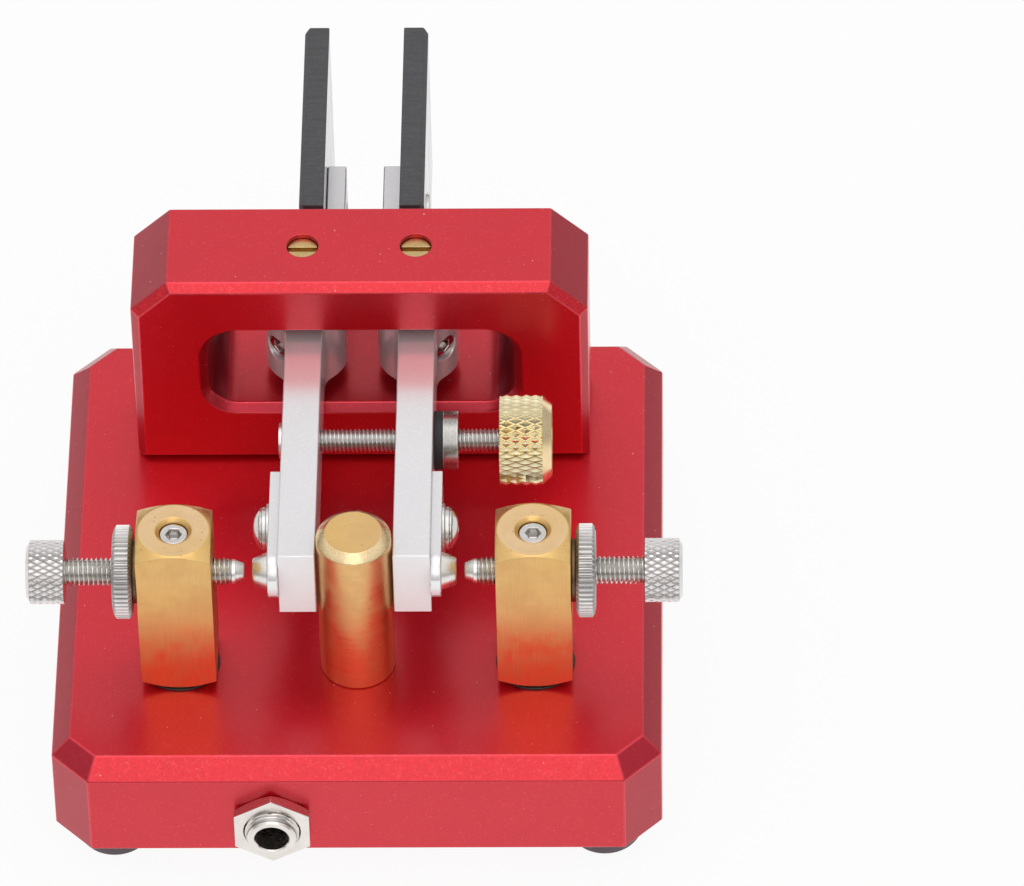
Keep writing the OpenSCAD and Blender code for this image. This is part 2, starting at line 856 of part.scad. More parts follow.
module jack_bush()
  color([0.72, 0.71, 0.70])
    at_jack()
      rotate_extrude() {
        h = front_wall - jack_front;
        r = bush_d / 2;
        polygon([[plug_d / 2, 0], [r, 0], [r, h - 0.45], [r - 0.45, h], [plug_d / 2, h]]);
      }

// Hexagon chamfered at the back, where it bears on the base plate
module jack_nut()
  color([0.74, 0.74, 0.75])
    at_jack()
      translate([0, 0, front_wall])
        difference() {
          intersection() {
            r = 0.485 * jack_nut_w;
            rotate(90)
              cylinder(d = jack_nut_w / cos(30), h = jack_nut_t, $fn = 6);
            cylinder(r1 = r, r2 = r + jack_nut_t / tan(30), h = jack_nut_t);
          }
          translate([0, 0, -past])
            cylinder(d = bush_d + 2 * fit, h = jack_nut_t + 2 * past);
        }

module jack_body()
  color([0.10, 0.10, 0.11])
    at_jack()
      difference() {
        translate([-jack_w / 2, -jack_h / 2, -jack_len])
          cube([jack_w, jack_h, jack_len]);
        translate([0, 0, 2 - jack_len])
          cylinder(d = plug_d, h = jack_len);
        for (x = jack_tag_x)
          translate([x - jack_tag.x / 2 - fit, -jack_tag.z / 2 - fit, -jack_len - past])
            cube([jack_tag.x + 2 * fit, jack_tag.z + 2 * fit, 1.2 + past]);
      }

module jack_tags()
  color([0.82, 0.78, 0.66])
    at_jack()
      for (x = jack_tag_x)
        translate([x - jack_tag.x / 2, -jack_tag.z / 2, -jack_len - jack_tag.y])
          cube([jack_tag.x, jack_tag.z, jack_tag.y + 1.15]);

// Wires

// Points from a jack tag back, across and forward again to a solder tag
function wire_route(x0, x1, y) =
  let (s = sign(x1 - x0), out = s > 0 ? 180 : 0)
  concat([[x0, wire_start]],
    arc([x0 + s * wire_bend, y - wire_bend], wire_bend, out, 90, 4),
    arc([x1 - s * wire_bend, y - wire_bend], wire_bend, 90, 180 - out, 4),
    [[x1, wire_end]]);

function heading(route, i) =
  let (d = route[min(i + 1, len(route) - 1)] - route[max(i - 1, 0)]) d / norm(d);

// Round wire with eight sides that lies flat at the height of the jack tags
module wire(x0, x1, y) {
  route = wire_route(x0, x1, y);
  n = len(route);
  points = [for (i = [0:n - 1], k = [0:7])
    let (d = heading(route, i), a = wire_d / 2 * cos(45 * k), b = wire_d / 2 * sin(45 * k))
    [route[i].x - a * d.y, route[i].y + a * d.x, jack_z + b]];
  sides = [for (i = [0:n - 2], k = [0:7])
    [8 * i + k, 8 * i + (k + 1) % 8, 8 * (i + 1) + (k + 1) % 8, 8 * (i + 1) + k]];
  key_frame()
    polyhedron(points, concat(sides, [[7, 6, 5, 4, 3, 2, 1, 0], [for (k = [0:7]) 8 * (n - 1) + k]]));
}

module left_wire()
  color([0.15, 0.30, 0.65])
    wire(jack_x + jack_tag_x[0], -post_x, wire_near);

module right_wire()
  color([0.72, 0.55, 0.12])
    wire(jack_x + jack_tag_x[1], post_x, wire_far);

module common_wire()
  color([0.12, 0.12, 0.12])
    wire(jack_x + jack_tag_x[2], 0, wire_near);

// Contact screws and thumb nuts

module contact_tip(side)
  color([0.86, 0.85, 0.82])
    on_side(side)
      along_x(tip_x, post_y, contact_z) {
        cylinder(d1 = tip_d[0], d2 = tip_d[1], h = tip_len);
        cylinder(d = tip_shank[0], h = tip_len + tip_shank[1]);
      }

module left_contact_tip() contact_tip(-1);
module right_contact_tip() contact_tip(1);

module contact_screw(side)
  color([0.72, 0.72, 0.73])
    on_side(side)
      along_x(tip_x + tip_len + fit, post_y, contact_z)
        difference() {
          rotate_extrude() {
            l = head_x - tip_x - tip_len - fit;
            r = contact_screw_d / 2;
            polygon([[0, 0], [r - 0.2, 0], [r, 0.2], [r, l], [head_d / 2 - 0.5, l], [head_d / 2, l + 0.5],
              [head_d / 2, l + head_len - 0.5], [head_d / 2 - 0.5, l + head_len], [0, l + head_len]]);
          }
          translate([0, 0, -past])
            cylinder(d = tip_shank[0] + 2 * fit, h = past + tip_shank[1] + fit);
        }

module left_contact_screw() contact_screw(-1);
module right_contact_screw() contact_screw(1);

module nut_washer(side)
  color([0.66, 0.66, 0.67])
    on_side(side)
      along_x(post_out, post_y, contact_z)
        ring(2.25 * contact_screw_d, contact_screw_d + 4 * fit, nut_x - post_out);

module left_nut_washer() nut_washer(-1);
module right_nut_washer() nut_washer(1);

module thumb_nut(side)
  color([0.70, 0.70, 0.71])
    on_side(side)
      along_x(nut_x, post_y, contact_z)
        linear_extrude(nut_t)
          difference() {
            polygon([for (i = [0:4 * nut_ribs - 1])
              let (a = 90 * (i + 0.5) / nut_ribs, r = nut_d / 2 - (i % 4 < 2 ? 0 : 0.28))
              r * [cos(a), sin(a)]]);
            circle(d = contact_screw_d + 2 * fit);
          }

module left_thumb_nut() thumb_nut(-1);
module right_thumb_nut() thumb_nut(1);

// Tension screw, magnets and knob

module tension_screw()
  color([0.70, 0.70, 0.72])
    on_side(-1)
      along_x(arm_out + tension_head[2], tension_y, lever_mid)
        difference() {
          l = arm_out + tension_head[2] + knob_x + knob_len - 0.5;
          union() {
            translate([0, 0, -tension_head[1]])
              cylinder(d = tension_head[0], h = tension_head[1]);
            translate([0, 0, -l])
              cylinder(d = tension_d, h = l);
          }
          hex_socket(0.5 * tension_d, 0.9);
        }

module rubber_washer()
  color([0.08, 0.08, 0.08])
    on_side(1)
      along_x(arm_out, tension_y, lever_mid)
        ring(magnet_d, tension_free, rubber_t);

module ring_magnet()
  color([0.78, 0.77, 0.75])
    on_side(1)
      along_x(magnet_x, tension_y, lever_mid)
        ring(magnet_d, tension_free, magnet_t);

module knob_magnet()
  color([0.78, 0.77, 0.75])
    on_side(1)
      along_x(knob_x, tension_y, lever_mid)
        ring(magnet_d, tension_d + 6 * fit, magnet_t);

module tension_knob()
  color([0.82, 0.66, 0.26])
    on_side(1)
      along_x(knob_x, tension_y, lever_mid)
        rotate_extrude() {
          inner = tension_d / 2 + fit;
          seat = magnet_d / 2 + fit;
          r = knob_d / 2;
          polygon([[inner, magnet_t + fit], [seat, magnet_t + fit], [seat, 0], [r - 0.3, 0], [r, 0.3],
            [r, knob_len - 0.95], [r - 0.95, knob_len], [inner, knob_len]]);
        }

// What is drawn

base_plate();
rubber_feet();
bridge();
bridge_screws();
upper_pivot_screws();
lower_pivot_screws();
stop_post();
stop_post_screw();
left_contact_post();
right_contact_post();
post_washers();
post_bushes();
post_screws();
post_grub_screws();
solder_tags();
jack_body();
jack_bush();
jack_nut();
jack_tags();
left_wire();
right_wire();
common_wire();
left_lever();
left_pivot_pin();
left_hub_screw();
left_paddle();
left_paddle_screws();
left_strip();
left_strip_screw();
left_strip_washer();
left_spring_washer();
left_stud();
tension_screw();
right_lever();
right_pivot_pin();
right_hub_screw();
right_paddle();
right_paddle_screws();
right_strip();
right_strip_screw();
right_strip_washer();
right_spring_washer();
right_stud();
rubber_washer();
ring_magnet();
left_contact_tip();
left_contact_screw();
left_nut_washer();
left_thumb_nut();
right_contact_tip();
right_contact_screw();
right_nut_washer();
right_thumb_nut();
knob_magnet();
tension_knob();
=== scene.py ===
import json
import math

import bmesh
import bpy
from mathutils import Matrix, Vector

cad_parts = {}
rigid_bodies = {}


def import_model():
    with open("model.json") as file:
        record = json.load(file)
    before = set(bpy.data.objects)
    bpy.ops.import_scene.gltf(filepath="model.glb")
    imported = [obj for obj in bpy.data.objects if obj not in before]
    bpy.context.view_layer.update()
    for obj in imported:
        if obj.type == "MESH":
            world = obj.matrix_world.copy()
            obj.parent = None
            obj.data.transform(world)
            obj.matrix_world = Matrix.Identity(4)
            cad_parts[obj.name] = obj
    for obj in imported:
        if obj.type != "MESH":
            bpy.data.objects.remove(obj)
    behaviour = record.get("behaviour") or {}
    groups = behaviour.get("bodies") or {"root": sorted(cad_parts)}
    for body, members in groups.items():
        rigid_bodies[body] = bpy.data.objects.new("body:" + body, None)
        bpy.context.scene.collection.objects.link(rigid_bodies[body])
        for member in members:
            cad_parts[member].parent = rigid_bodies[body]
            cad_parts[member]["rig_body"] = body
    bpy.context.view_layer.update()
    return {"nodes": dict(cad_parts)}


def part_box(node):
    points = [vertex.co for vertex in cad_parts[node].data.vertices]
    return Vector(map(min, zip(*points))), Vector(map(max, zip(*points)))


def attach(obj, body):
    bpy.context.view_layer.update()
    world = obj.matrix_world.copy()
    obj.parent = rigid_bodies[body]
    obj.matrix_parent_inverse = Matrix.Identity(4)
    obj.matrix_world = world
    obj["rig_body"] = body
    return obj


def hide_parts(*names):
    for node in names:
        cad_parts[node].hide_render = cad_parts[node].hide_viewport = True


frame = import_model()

MM = 0.001
NODES = frame["nodes"]
SIDES = ("left_", "right_")
ORIGIN = Vector((0, 0, 0))
X = Vector((1, 0, 0))
Y = Vector((0, 1, 0))
Z = Vector((0, 0, 1))
scene = bpy.context.scene


def middle(node):
    low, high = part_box(node)
    return (low + high) / 2


# Node helpers

def add(tree, kind, sockets=None, **fields):
    """Node with its sockets linked or given a value. Colours are given without alpha."""
    made = tree.nodes.new(kind)
    for name, value in fields.items():
        setattr(made, name, value)
    for key, value in (sockets or {}).items():
        socket = made.inputs[key]
        if isinstance(value, bpy.types.NodeSocket):
            tree.links.new(value, socket)
        elif socket.type == "RGBA":
            socket.default_value = (*value, 1)
        else:
            socket.default_value = value
    return made


def calc(tree, operation, *values):
    return add(tree, "ShaderNodeMath", dict(enumerate(values)), operation=operation).outputs[0]


def plus(tree, first, second):
    return calc(tree, "ADD", first, second)


def minus(tree, first, second):
    return calc(tree, "SUBTRACT", first, second)


def times(tree, first, second):
    return calc(tree, "MULTIPLY", first, second)


def vector_calc(tree, operation, first, second):
    return add(tree, "ShaderNodeVectorMath", {0: first, 1: second}, operation=operation).outputs[0]


def split(tree, vector):
    return add(tree, "ShaderNodeSeparateXYZ", {0: vector}).outputs


def combined(tree, **parts):
    sockets = {part.upper(): value for part, value in parts.items()}
    return add(tree, "ShaderNodeCombineXYZ", sockets).outputs[0]


def from_axis(tree, part):
    """Distance from the Z axis."""
    squares = plus(tree, times(tree, part[0], part[0]), times(tree, part[1], part[1]))
    return calc(tree, "SQRT", squares)


def spread(tree, value, low, high, out_low=0.0, out_high=1.0):
    """Carries a value from one range over to another, and stops at its ends."""
    sockets = {"Value": value, "From Min": low, "From Max": high,
               "To Min": out_low, "To Max": out_high}
    return add(tree, "ShaderNodeMapRange", sockets).outputs["Result"]


def tint(tree, share, first, second):
    sockets = {0: share, 6: first, 7: second}
    return add(tree, "ShaderNodeMix", sockets, data_type="RGBA").outputs[2]


def noise(tree, vector, scale, detail=2.0, rough=0.5):
    sockets = {"Vector": vector, "Scale": scale, "Detail": detail, "Roughness": rough}
    return add(tree, "ShaderNodeTexNoise", sockets).outputs["Fac"]


def cells(tree, vector, scale):
    """Distance to the middle of scattered cells, and three random values for each cell."""
    made = add(tree, "ShaderNodeTexVoronoi", {"Vector": vector, "Scale": scale}).outputs
    picks = add(tree, "ShaderNodeSeparateColor", {"Color": made["Color"]}).outputs
    return made["Distance"], picks


# Shared effects

VECTOR, FLOAT = "NodeSocketVector", "NodeSocketFloat"
MOST = (0.3, 0.7)  # where most of a noise lies


def effect(name, outputs, **inputs):
    """Shader group that takes a place and named values, and gives named values."""
    tree = bpy.data.node_groups.new(name, "ShaderNodeTree")
    tree.interface.new_socket("Place", in_out="INPUT", socket_type=VECTOR)
    for label, value in inputs.items():
        kind = VECTOR if isinstance(value, tuple) else FLOAT
        tree.interface.new_socket(label, in_out="INPUT", socket_type=kind).default_value = value
    for label in outputs:
        tree.interface.new_socket(label, in_out="OUTPUT", socket_type=FLOAT)
    given = tree.nodes.new("NodeGroupInput").outputs
    out = tree.nodes.new("NodeGroupOutput").inputs
    return tree, given, out


def blasted_grain():
    """Fine grain of a bead-blasted face, with painted glints as bright specks, and a slow drift in
    tone.
    """
    tree, given, out = effect("blasted_grain", ("Height", "Glint", "Drift"), Fineness=7000.0)
    grain = noise(tree, given["Place"], given["Fineness"], 3.0, 0.6)
    coarse = noise(tree, given["Place"], times(tree, given["Fineness"], 0.35), 1.0)
    height = plus(tree, times(tree, grain, 0.7), times(tree, coarse, 0.3))
    picks = cells(tree, given["Place"], given["Fineness"])[1]
    tree.links.new(height, out["Height"])
    # Painted glints: bright specks in scattered cells of the grain.
    tree.links.new(spread(tree, picks[0], 0.80, 1.0), out["Glint"])
    tree.links.new(noise(tree, given["Place"], 90.0, 3.0, 0.55), out["Drift"])
    return tree


def drawn_lines():
    """Lines left by drawing or brushing, stretched along one direction of the piece."""
    tree, given, out = effect("drawn_lines", ("Height", "Tone"), Stretch=(6000.0, 6000.0, 250.0))
    run = vector_calc(tree, "MULTIPLY", given["Place"], given["Stretch"])
    fine = noise(tree, run, 1.0, 4.0, 0.65)
    broad = noise(tree, run, 0.22, 2.0, 0.5)
    height = plus(tree, times(tree, fine, 0.6), times(tree, broad, 0.4))
    tree.links.new(height, out["Height"])
    tree.links.new(spread(tree, fine, *MOST), out["Tone"])
    return tree


def turned_lines():
    """Rings left by a lathe round the Z axis of the place that is given."""
    tree, given, out = effect("turned_lines", ("Height", "Tone"), Fineness=9000.0)
    part = split(tree, given["Place"])
    turn = times(tree, calc(tree, "ARCTAN2", part[1], part[0]), 0.00004)
    place = combined(tree, x=from_axis(tree, part), y=part[2], z=turn)
    rings = noise(tree, place, given["Fineness"], 3.0, 0.6)
    tree.links.new(rings, out["Height"])
    tree.links.new(spread(tree, rings, *MOST), out["Tone"])
    return tree


def handling():
    """Wear of handled pieces: cloudy stains and small pits."""
    tree, given, out = effect("handling", ("Stain", "Pits"), Size=350.0)
    cloud = noise(tree, given["Place"], given["Size"], 5.0, 0.62)
    distance, picks = cells(tree, given["Place"], times(tree, given["Size"], 6.0))
    small = calc(tree, "LESS_THAN", distance, 0.20)
    few = calc(tree, "GREATER_THAN", picks[1], 0.80)
    tree.links.new(spread(tree, cloud, 0.42, 0.68), out["Stain"])
    tree.links.new(times(tree, small, few), out["Pits"])
    return tree


def dust():
    """Sparse pale specks of dust."""
    tree, given, out = effect("dust", ("Speck",), Spacing=700.0)
    distance, picks = cells(tree, given["Place"], given["Spacing"])
    size = spread(tree, picks[1], 0.0, 1.0, 0.02, 0.09)
    near = calc(tree, "LESS_THAN", distance, size)
    few = calc(tree, "GREATER_THAN", picks[0], 0.72)
    tree.links.new(times(tree, near, few), out["Speck"])
    return tree


def grooves():
    """How deep a point lies between the crests and the roots of a thread, knurl or ribs round Z."""
    tree, given, out = effect("grooves", ("Depth",), Root=0.001, Crest=0.002)
    reach = from_axis(tree, split(tree, given["Place"]))
    tree.links.new(spread(tree, reach, given["Root"], given["Crest"], 1.0, 0.0), out["Depth"])
    return tree


GRAIN, LINES, RINGS = blasted_grain(), drawn_lines(), turned_lines()
WEAR, DUST, GROOVES = handling(), dust(), grooves()


# Finishes

class Finish:
    """A material with its Principled shader and the piece's own coordinates."""

    def __init__(self, name, **constants):
        self.material = bpy.data.materials.new(name)
        self.material.use_nodes = True
        self.tree = self.material.node_tree
        self.shader = self.tree.nodes["Principled BSDF"]
        for key, value in constants.items():
            self.shader.inputs[key.replace("_", " ")].default_value = value
        self.place = add(self.tree, "ShaderNodeTexCoord").outputs["Object"]

    def group(self, tree, **sockets):
        made = add(self.tree, "ShaderNodeGroup", node_tree=tree)
        self.tree.links.new(sockets.pop("Place", self.place), made.inputs["Place"])
        for key, value in sockets.items():
            made.inputs[key].default_value = value
        return made.outputs

    def centred(self, point, axis):
        """Coordinates with their Z axis on a line through a point."""
        turn = axis.rotation_difference(Z).to_euler()
        moved = vector_calc(self.tree, "SUBTRACT", self.place, tuple(point))
        sockets = {"Vector": moved, "Rotation": turn}
        return add(self.tree, "ShaderNodeMapping", sockets).outputs[0]

    def layer(self, colour, share, amount, over):
        """Lays another colour over the first, where the share is high."""
        return tint(self.tree, times(self.tree, share, amount), colour, over)

    def feed(self, name, socket):
        self.tree.links.new(socket, self.shader.inputs[name])

    def bump(self, height, depth_mm):
        sockets = {"Height": height, "Distance": depth_mm * MM, "Strength": 1.0}
        self.feed("Normal", add(self.tree, "ShaderNodeBump", sockets).outputs[0])


def scaled(colour, share):
    return [share * part for part in colour]


def red_anodised(name, light, deep, glint_colour, rough, glint=0.12, sparkle=0.0, haze=1.0):
    """Dyed, bead-blasted aluminium: how its grain shows in its tone as painted sparkle and painted
    glints, and how milky its coat is.
    """
    finish = Finish(name, Metallic=1.0, Coat_Weight=haze, Coat_IOR=1.46, Coat_Roughness=0.24)
    tree = finish.tree
    grain = finish.group(GRAIN, Fineness=4000.0)
    specks = [finish.group(DUST, Spacing=spacing)["Speck"] for spacing in (850.0, 1900.0)]
    worn = finish.group(WEAR, Size=120.0)
    # Painted sparkle: the grain's height lightens and darkens the tone.
    sparkling = times(tree, spread(tree, grain["Height"], *MOST), sparkle)
    tone = plus(tree, times(tree, grain["Drift"], 1.0 - sparkle), sparkling)
    colour = tint(tree, tone, deep, light)
    # Painted glints: specks of a lighter red in the grain.
    colour = finish.layer(colour, grain["Glint"], glint, glint_colour)
    colour = finish.layer(colour, calc(tree, "MAXIMUM", *specks), 0.6, (0.86, 0.50, 0.48))
    finish.feed("Base Color", colour)
    even = spread(tree, grain["Height"], *MOST, rough - 0.05, rough + 0.06)
    finish.feed("Roughness", plus(tree, even, times(tree, worn["Stain"], 0.05)))
    finish.bump(grain["Height"], 0.018)
    return finish.material


def satin_aluminium(name, dark, light, mirror, glint, depth):
    """Clear-anodised, bead-blasted aluminium: how it mirrors, and how its grain sparkles, with
    painted white glints.
    """
    finish = Finish(name, Metallic=mirror)
    tree = finish.tree
    grain = finish.group(GRAIN, Fineness=7500.0)
    colour = tint(tree, grain["Drift"], dark, light)
    # Painted glints: white specks in the grain.
    finish.feed("Base Color", finish.layer(colour, grain["Glint"], glint, (1.0, 1.0, 1.0)))
    finish.feed("Roughness", spread(tree, grain["Height"], *MOST, 0.17, 0.27))
    finish.bump(grain["Height"], depth)
    return finish.material


def post_brass(name, light, stretch=None, centre=None):
    """Handled brass, with lines drawn along a bar or rings turned round an upright piece."""
    finish = Finish(name, Metallic=1.0)
    tree = finish.tree
    if centre is None:
        lines = finish.group(LINES, Stretch=stretch)
    else:
        lines = finish.group(RINGS, Place=finish.centred(centre, Z), Fineness=7000.0)
    worn = finish.group(WEAR, Size=300.0)
    broad = finish.group(WEAR, Size=110.0)
    colour = tint(tree, lines["Tone"], light, scaled(light, 1.12))
    colour = finish.layer(colour, broad["Stain"], 0.40, (0.80, 0.50, 0.14))
    colour = finish.layer(colour, worn["Stain"], 0.25, (0.60, 0.38, 0.16))
    colour = finish.layer(colour, worn["Pits"], 0.45, (0.40, 0.23, 0.09))
    finish.feed("Base Color", colour)
    even = spread(tree, lines["Tone"], 0.0, 1.0, 0.26, 0.34)
    finish.feed("Roughness", plus(tree, even, times(tree, worn["Stain"], 0.14)))
    finish.bump(lines["Height"], 0.006)
    return finish.material


def bright_metal(name, light, dark, rough, line=None, depth=0.003, cut=None, groove_shade_and_grime=0.55):
    """Plated or stainless metal with machining lines and finger marks, and painted shade with grime
    in cut grooves.

    A line is a point and an axis that the piece is turned about. A cut is the radius of the
    grooves' roots and of their crests, in millimetres.
    """
    finish = Finish(name, Metallic=1.0)
    tree = finish.tree
    worn = finish.group(WEAR, Size=420.0)
    if line is None:
        lines = finish.group(LINES, Stretch=(4000.0, 4000.0, 4000.0))
    else:
        place = finish.centred(*line)
        lines = finish.group(RINGS, Place=place, Fineness=9000.0)
    colour = tint(tree, lines["Tone"], dark, light)
    colour = finish.layer(colour, worn["Stain"], 0.22, scaled(dark, 0.62))
    if cut:
        low = finish.group(GROOVES, Place=place, Root=cut[0] * MM, Crest=cut[1] * MM)["Depth"]
        # Painted shade with grime: darker towards the roots of the cut grooves.
        colour = finish.layer(colour, low, groove_shade_and_grime, scaled(dark, 0.2))
    finish.feed("Base Color", colour)
    even = spread(tree, lines["Tone"], 0.0, 1.0, rough - 0.04, rough + 0.05)
    finish.feed("Roughness", plus(tree, even, times(tree, worn["Stain"], 0.08)))
    finish.bump(lines["Height"], depth)
    return finish.material


def polished_plastic(name):
    """Polished faces of sheet plastic."""
    finish = Finish(name, IOR=1.49)
    tree = finish.tree
    worn = finish.group(WEAR, Size=180.0)
    colour = tint(tree, worn["Stain"], (0.016, 0.016, 0.018), (0.024, 0.024, 0.027))
    finish.feed("Base Color", finish.layer(colour, worn["Pits"], 0.25, (0.10, 0.10, 0.11)))
    finish.feed("Roughness", spread(tree, worn["Stain"], 0.0, 1.0, 0.06, 0.12))
    finish.bump(noise(tree, finish.place, 500.0), 0.002)
    return finish.material


def sawn_plastic(name):
    """Edges of sheet plastic, left matt by the saw."""
    finish = Finish(name, IOR=1.49)
    tree = finish.tree
    lines = finish.group(LINES, Stretch=(300.0, 2600.0, 2600.0))
    grain = finish.group(GRAIN, Fineness=5000.0)
    colour = tint(tree, lines["Tone"], (0.058, 0.056, 0.060), (0.082, 0.080, 0.085))
    # Painted glints: lighter specks on the sawn edge.
    finish.feed("Base Color", finish.layer(colour, grain["Glint"], 0.20, (0.15, 0.15, 0.16)))
    finish.feed("Roughness", spread(tree, grain["Height"], *MOST, 0.50, 0.68))
    finish.bump(lines["Height"], 0.012)
    return finish.material


def matt_moulding(name, light, dark, rough, fineness, depth):
    """Rubber, nylon or moulded plastic with a fine even texture."""
    finish = Finish(name)
    tree = finish.tree
    grain = finish.group(GRAIN, Fineness=fineness)
    speck = finish.group(DUST, Spacing=900.0)["Speck"]
    colour = tint(tree, grain["Drift"], dark, light)
    finish.feed("Base Color", finish.layer(colour, speck, 0.25, (0.4, 0.38, 0.36)))
    finish.feed("Roughness", spread(tree, grain["Height"], *MOST, rough - 0.08, rough + 0.08))
    finish.bump(grain["Height"], depth)
    return finish.material


contact_line = (middle("right_contact_screw"), X)
tension_line = (middle("tension_knob"), X)
jack_line = (middle("jack_bush"), Y)

RED = red_anodised(
    "red_anodised", (0.72, 0.014, 0.034), (0.66, 0.011, 0.028), (0.95, 0.10, 0.14), rough=0.44)
# Painted highlight: a lighter, more sparkling copy of the red, for the bevels that face the
# brightest light.
RED_LIT_BEVEL = red_anodised(
    "red_anodised_bevel_painted_highlight", (0.90, 0.020, 0.038), (0.62, 0.008, 0.020), (1.0, 0.10, 0.13), rough=0.42,
    glint=0.25, sparkle=0.9)
# Painted shade: a darker, less milky copy of the red, for the bevels that face away from the
# brightest light.
RED_SHADED_BEVEL = red_anodised(
    "red_anodised_side_painted_shade", (0.56, 0.012, 0.034), (0.42, 0.008, 0.024), (0.80, 0.06, 0.10), rough=0.42,
    sparkle=0.6, haze=0.65)
# Painted highlight: a slightly lighter, pinker and glossier copy of the red, for the small rounds
# on the edges.
RED_EDGE_HIGHLIGHT = red_anodised(
    "red_anodised_edge_painted_highlight", (0.74, 0.030, 0.052), (0.68, 0.022, 0.042), (0.98, 0.20, 0.22), rough=0.32)

SATIN = satin_aluminium(
    "lever_satin", (0.82, 0.805, 0.825), (0.88, 0.865, 0.88), mirror=0.55, glint=0.55, depth=0.006)
# Painted highlight: a whiter, less mirroring copy of the lever satin, for the front end faces.
SATIN_LIT_END = satin_aluminium(
    "lever_end_satin_painted_highlight", (0.92, 0.93, 0.95), (0.96, 0.97, 0.98), mirror=0.12, glint=0.9, depth=0.030)

BRASS = post_brass("post_brass", (0.74, 0.48, 0.19), stretch=(5200.0, 5200.0, 260.0))
TURNED_BRASS = post_brass("stop_brass", (0.76, 0.50, 0.22), centre=middle("stop_post"))
POST_TOP = {side: post_brass(side + "post_top_brass", (0.82, 0.58, 0.34),
                             centre=middle(side + "contact_post")) for side in SIDES}
FILED_BRASS = bright_metal(
    "filed_brass", (1.0, 0.80, 0.50), (0.82, 0.59, 0.30), rough=0.20, depth=0.030)
SCREW_BRASS = bright_metal("pivot_brass", (0.74, 0.54, 0.25), (0.56, 0.39, 0.17), rough=0.30)
GOLD = bright_metal(
    "knob_gold", (1.0, 0.83, 0.52), (1.0, 0.76, 0.43), rough=0.26, line=tension_line, depth=0.002)
KNURLED_GOLD = bright_metal(
    "knob_knurl_gold", (1.0, 0.94, 0.66), (1.0, 0.84, 0.48), rough=0.10, line=tension_line,
    depth=0.001, cut=(4.58, 4.78), groove_shade_and_grime=0.46)
# Painted shade: the washer under each thumb nut is coloured dark brown for the shade between the
# nut and the post.
NUT_WASHER_SHADE = bright_metal("nut_washer_painted_shade", (0.26, 0.17, 0.105), (0.17, 0.11, 0.07), rough=0.34)

CHROME = bright_metal("grub_screw_chrome", (0.78, 0.76, 0.74), (0.62, 0.60, 0.58), rough=0.14)
STEEL = bright_metal("stainless", (0.78, 0.77, 0.75), (0.64, 0.63, 0.61), rough=0.26)
DARK_STEEL = bright_metal("black_steel", (0.075, 0.075, 0.08), (0.040, 0.040, 0.043), rough=0.36)
SCREW_STEEL = bright_metal(
    "screw_head_steel", (0.88, 0.86, 0.84), (0.74, 0.72, 0.70), rough=0.27, line=contact_line)
KNURLED_STEEL = bright_metal(
    "screw_knurl_steel", (0.92, 0.89, 0.88), (0.80, 0.77, 0.76), rough=0.22, line=contact_line,
    depth=0.002, cut=(3.19, 3.36), groove_shade_and_grime=0.50)
THREAD_STEEL = bright_metal(
    "screw_thread_steel", (0.88, 0.86, 0.82), (0.74, 0.71, 0.67), rough=0.25, line=contact_line,
    depth=0.002, cut=(1.25, 1.48), groove_shade_and_grime=0.40)
NUT_STEEL = bright_metal(
    "thumb_nut_steel", (0.62, 0.60, 0.59), (0.52, 0.50, 0.49), rough=0.40, line=contact_line)
RIBBED_STEEL = bright_metal(
    "thumb_nut_rib_steel", (0.84, 0.82, 0.81), (0.72, 0.70, 0.69), rough=0.42, line=contact_line,
    depth=0.002, cut=(4.66, 4.94), groove_shade_and_grime=0.50)
ROD_STEEL = bright_metal(
    "tension_screw_steel", (0.90, 0.88, 0.86), (0.76, 0.74, 0.72), rough=0.26, line=tension_line,
    depth=0.002, cut=(1.03, 1.23), groove_shade_and_grime=0.40)
SILVER = bright_metal(
    "contact_silver", (0.95, 0.93, 0.90), (0.84, 0.82, 0.78), rough=0.26, line=contact_line)
MAGNET = bright_metal("magnet_nickel", (0.48, 0.465, 0.44), (0.33, 0.32, 0.30), rough=0.22)
NICKEL = bright_metal(
    "jack_nickel", (0.92, 0.87, 0.83), (0.80, 0.75, 0.71), rough=0.22, line=jack_line)
BUSH_NICKEL = bright_metal(
    "jack_bush_nickel", (0.92, 0.87, 0.83), (0.80, 0.75, 0.71), rough=0.18, line=jack_line,
    depth=0.002, cut=(2.64, 2.86), groove_shade_and_grime=0.60)
TIN = bright_metal("tinned", (0.74, 0.72, 0.66), (0.55, 0.53, 0.48), rough=0.34)

PADDLE = polished_plastic("paddle_face")
PADDLE_EDGE = sawn_plastic("paddle_edge")
RUBBER = matt_moulding(
    "rubber", (0.028, 0.027, 0.027), (0.016, 0.016, 0.016),
    rough=0.62, fineness=4200.0, depth=0.010)
FOOT_RUBBER = matt_moulding(
    "foot_rubber", (0.115, 0.082, 0.100), (0.080, 0.056, 0.070),
    rough=0.55, fineness=4200.0, depth=0.008)
NYLON = matt_moulding(
    "nylon", (0.74, 0.73, 0.68), (0.64, 0.63, 0.58),
    rough=0.46, fineness=3000.0, depth=0.004)
BLACK_FIBRE = matt_moulding(
    "black_fibre", (0.030, 0.028, 0.027), (0.016, 0.015, 0.015),
    rough=0.34, fineness=5200.0, depth=0.006)
JACK_PLASTIC = matt_moulding(
    "jack_plastic", (0.024, 0.024, 0.026), (0.014, 0.014, 0.015),
    rough=0.40, fineness=4600.0, depth=0.006)
BLUE_WIRE = matt_moulding(
    "wire_blue", (0.035, 0.085, 0.36), (0.022, 0.060, 0.28),
    rough=0.36, fineness=2600.0, depth=0.004)
YELLOW_WIRE = matt_moulding(
    "wire_yellow", (0.70, 0.42, 0.035), (0.58, 0.33, 0.025),
    rough=0.36, fineness=2600.0, depth=0.004)
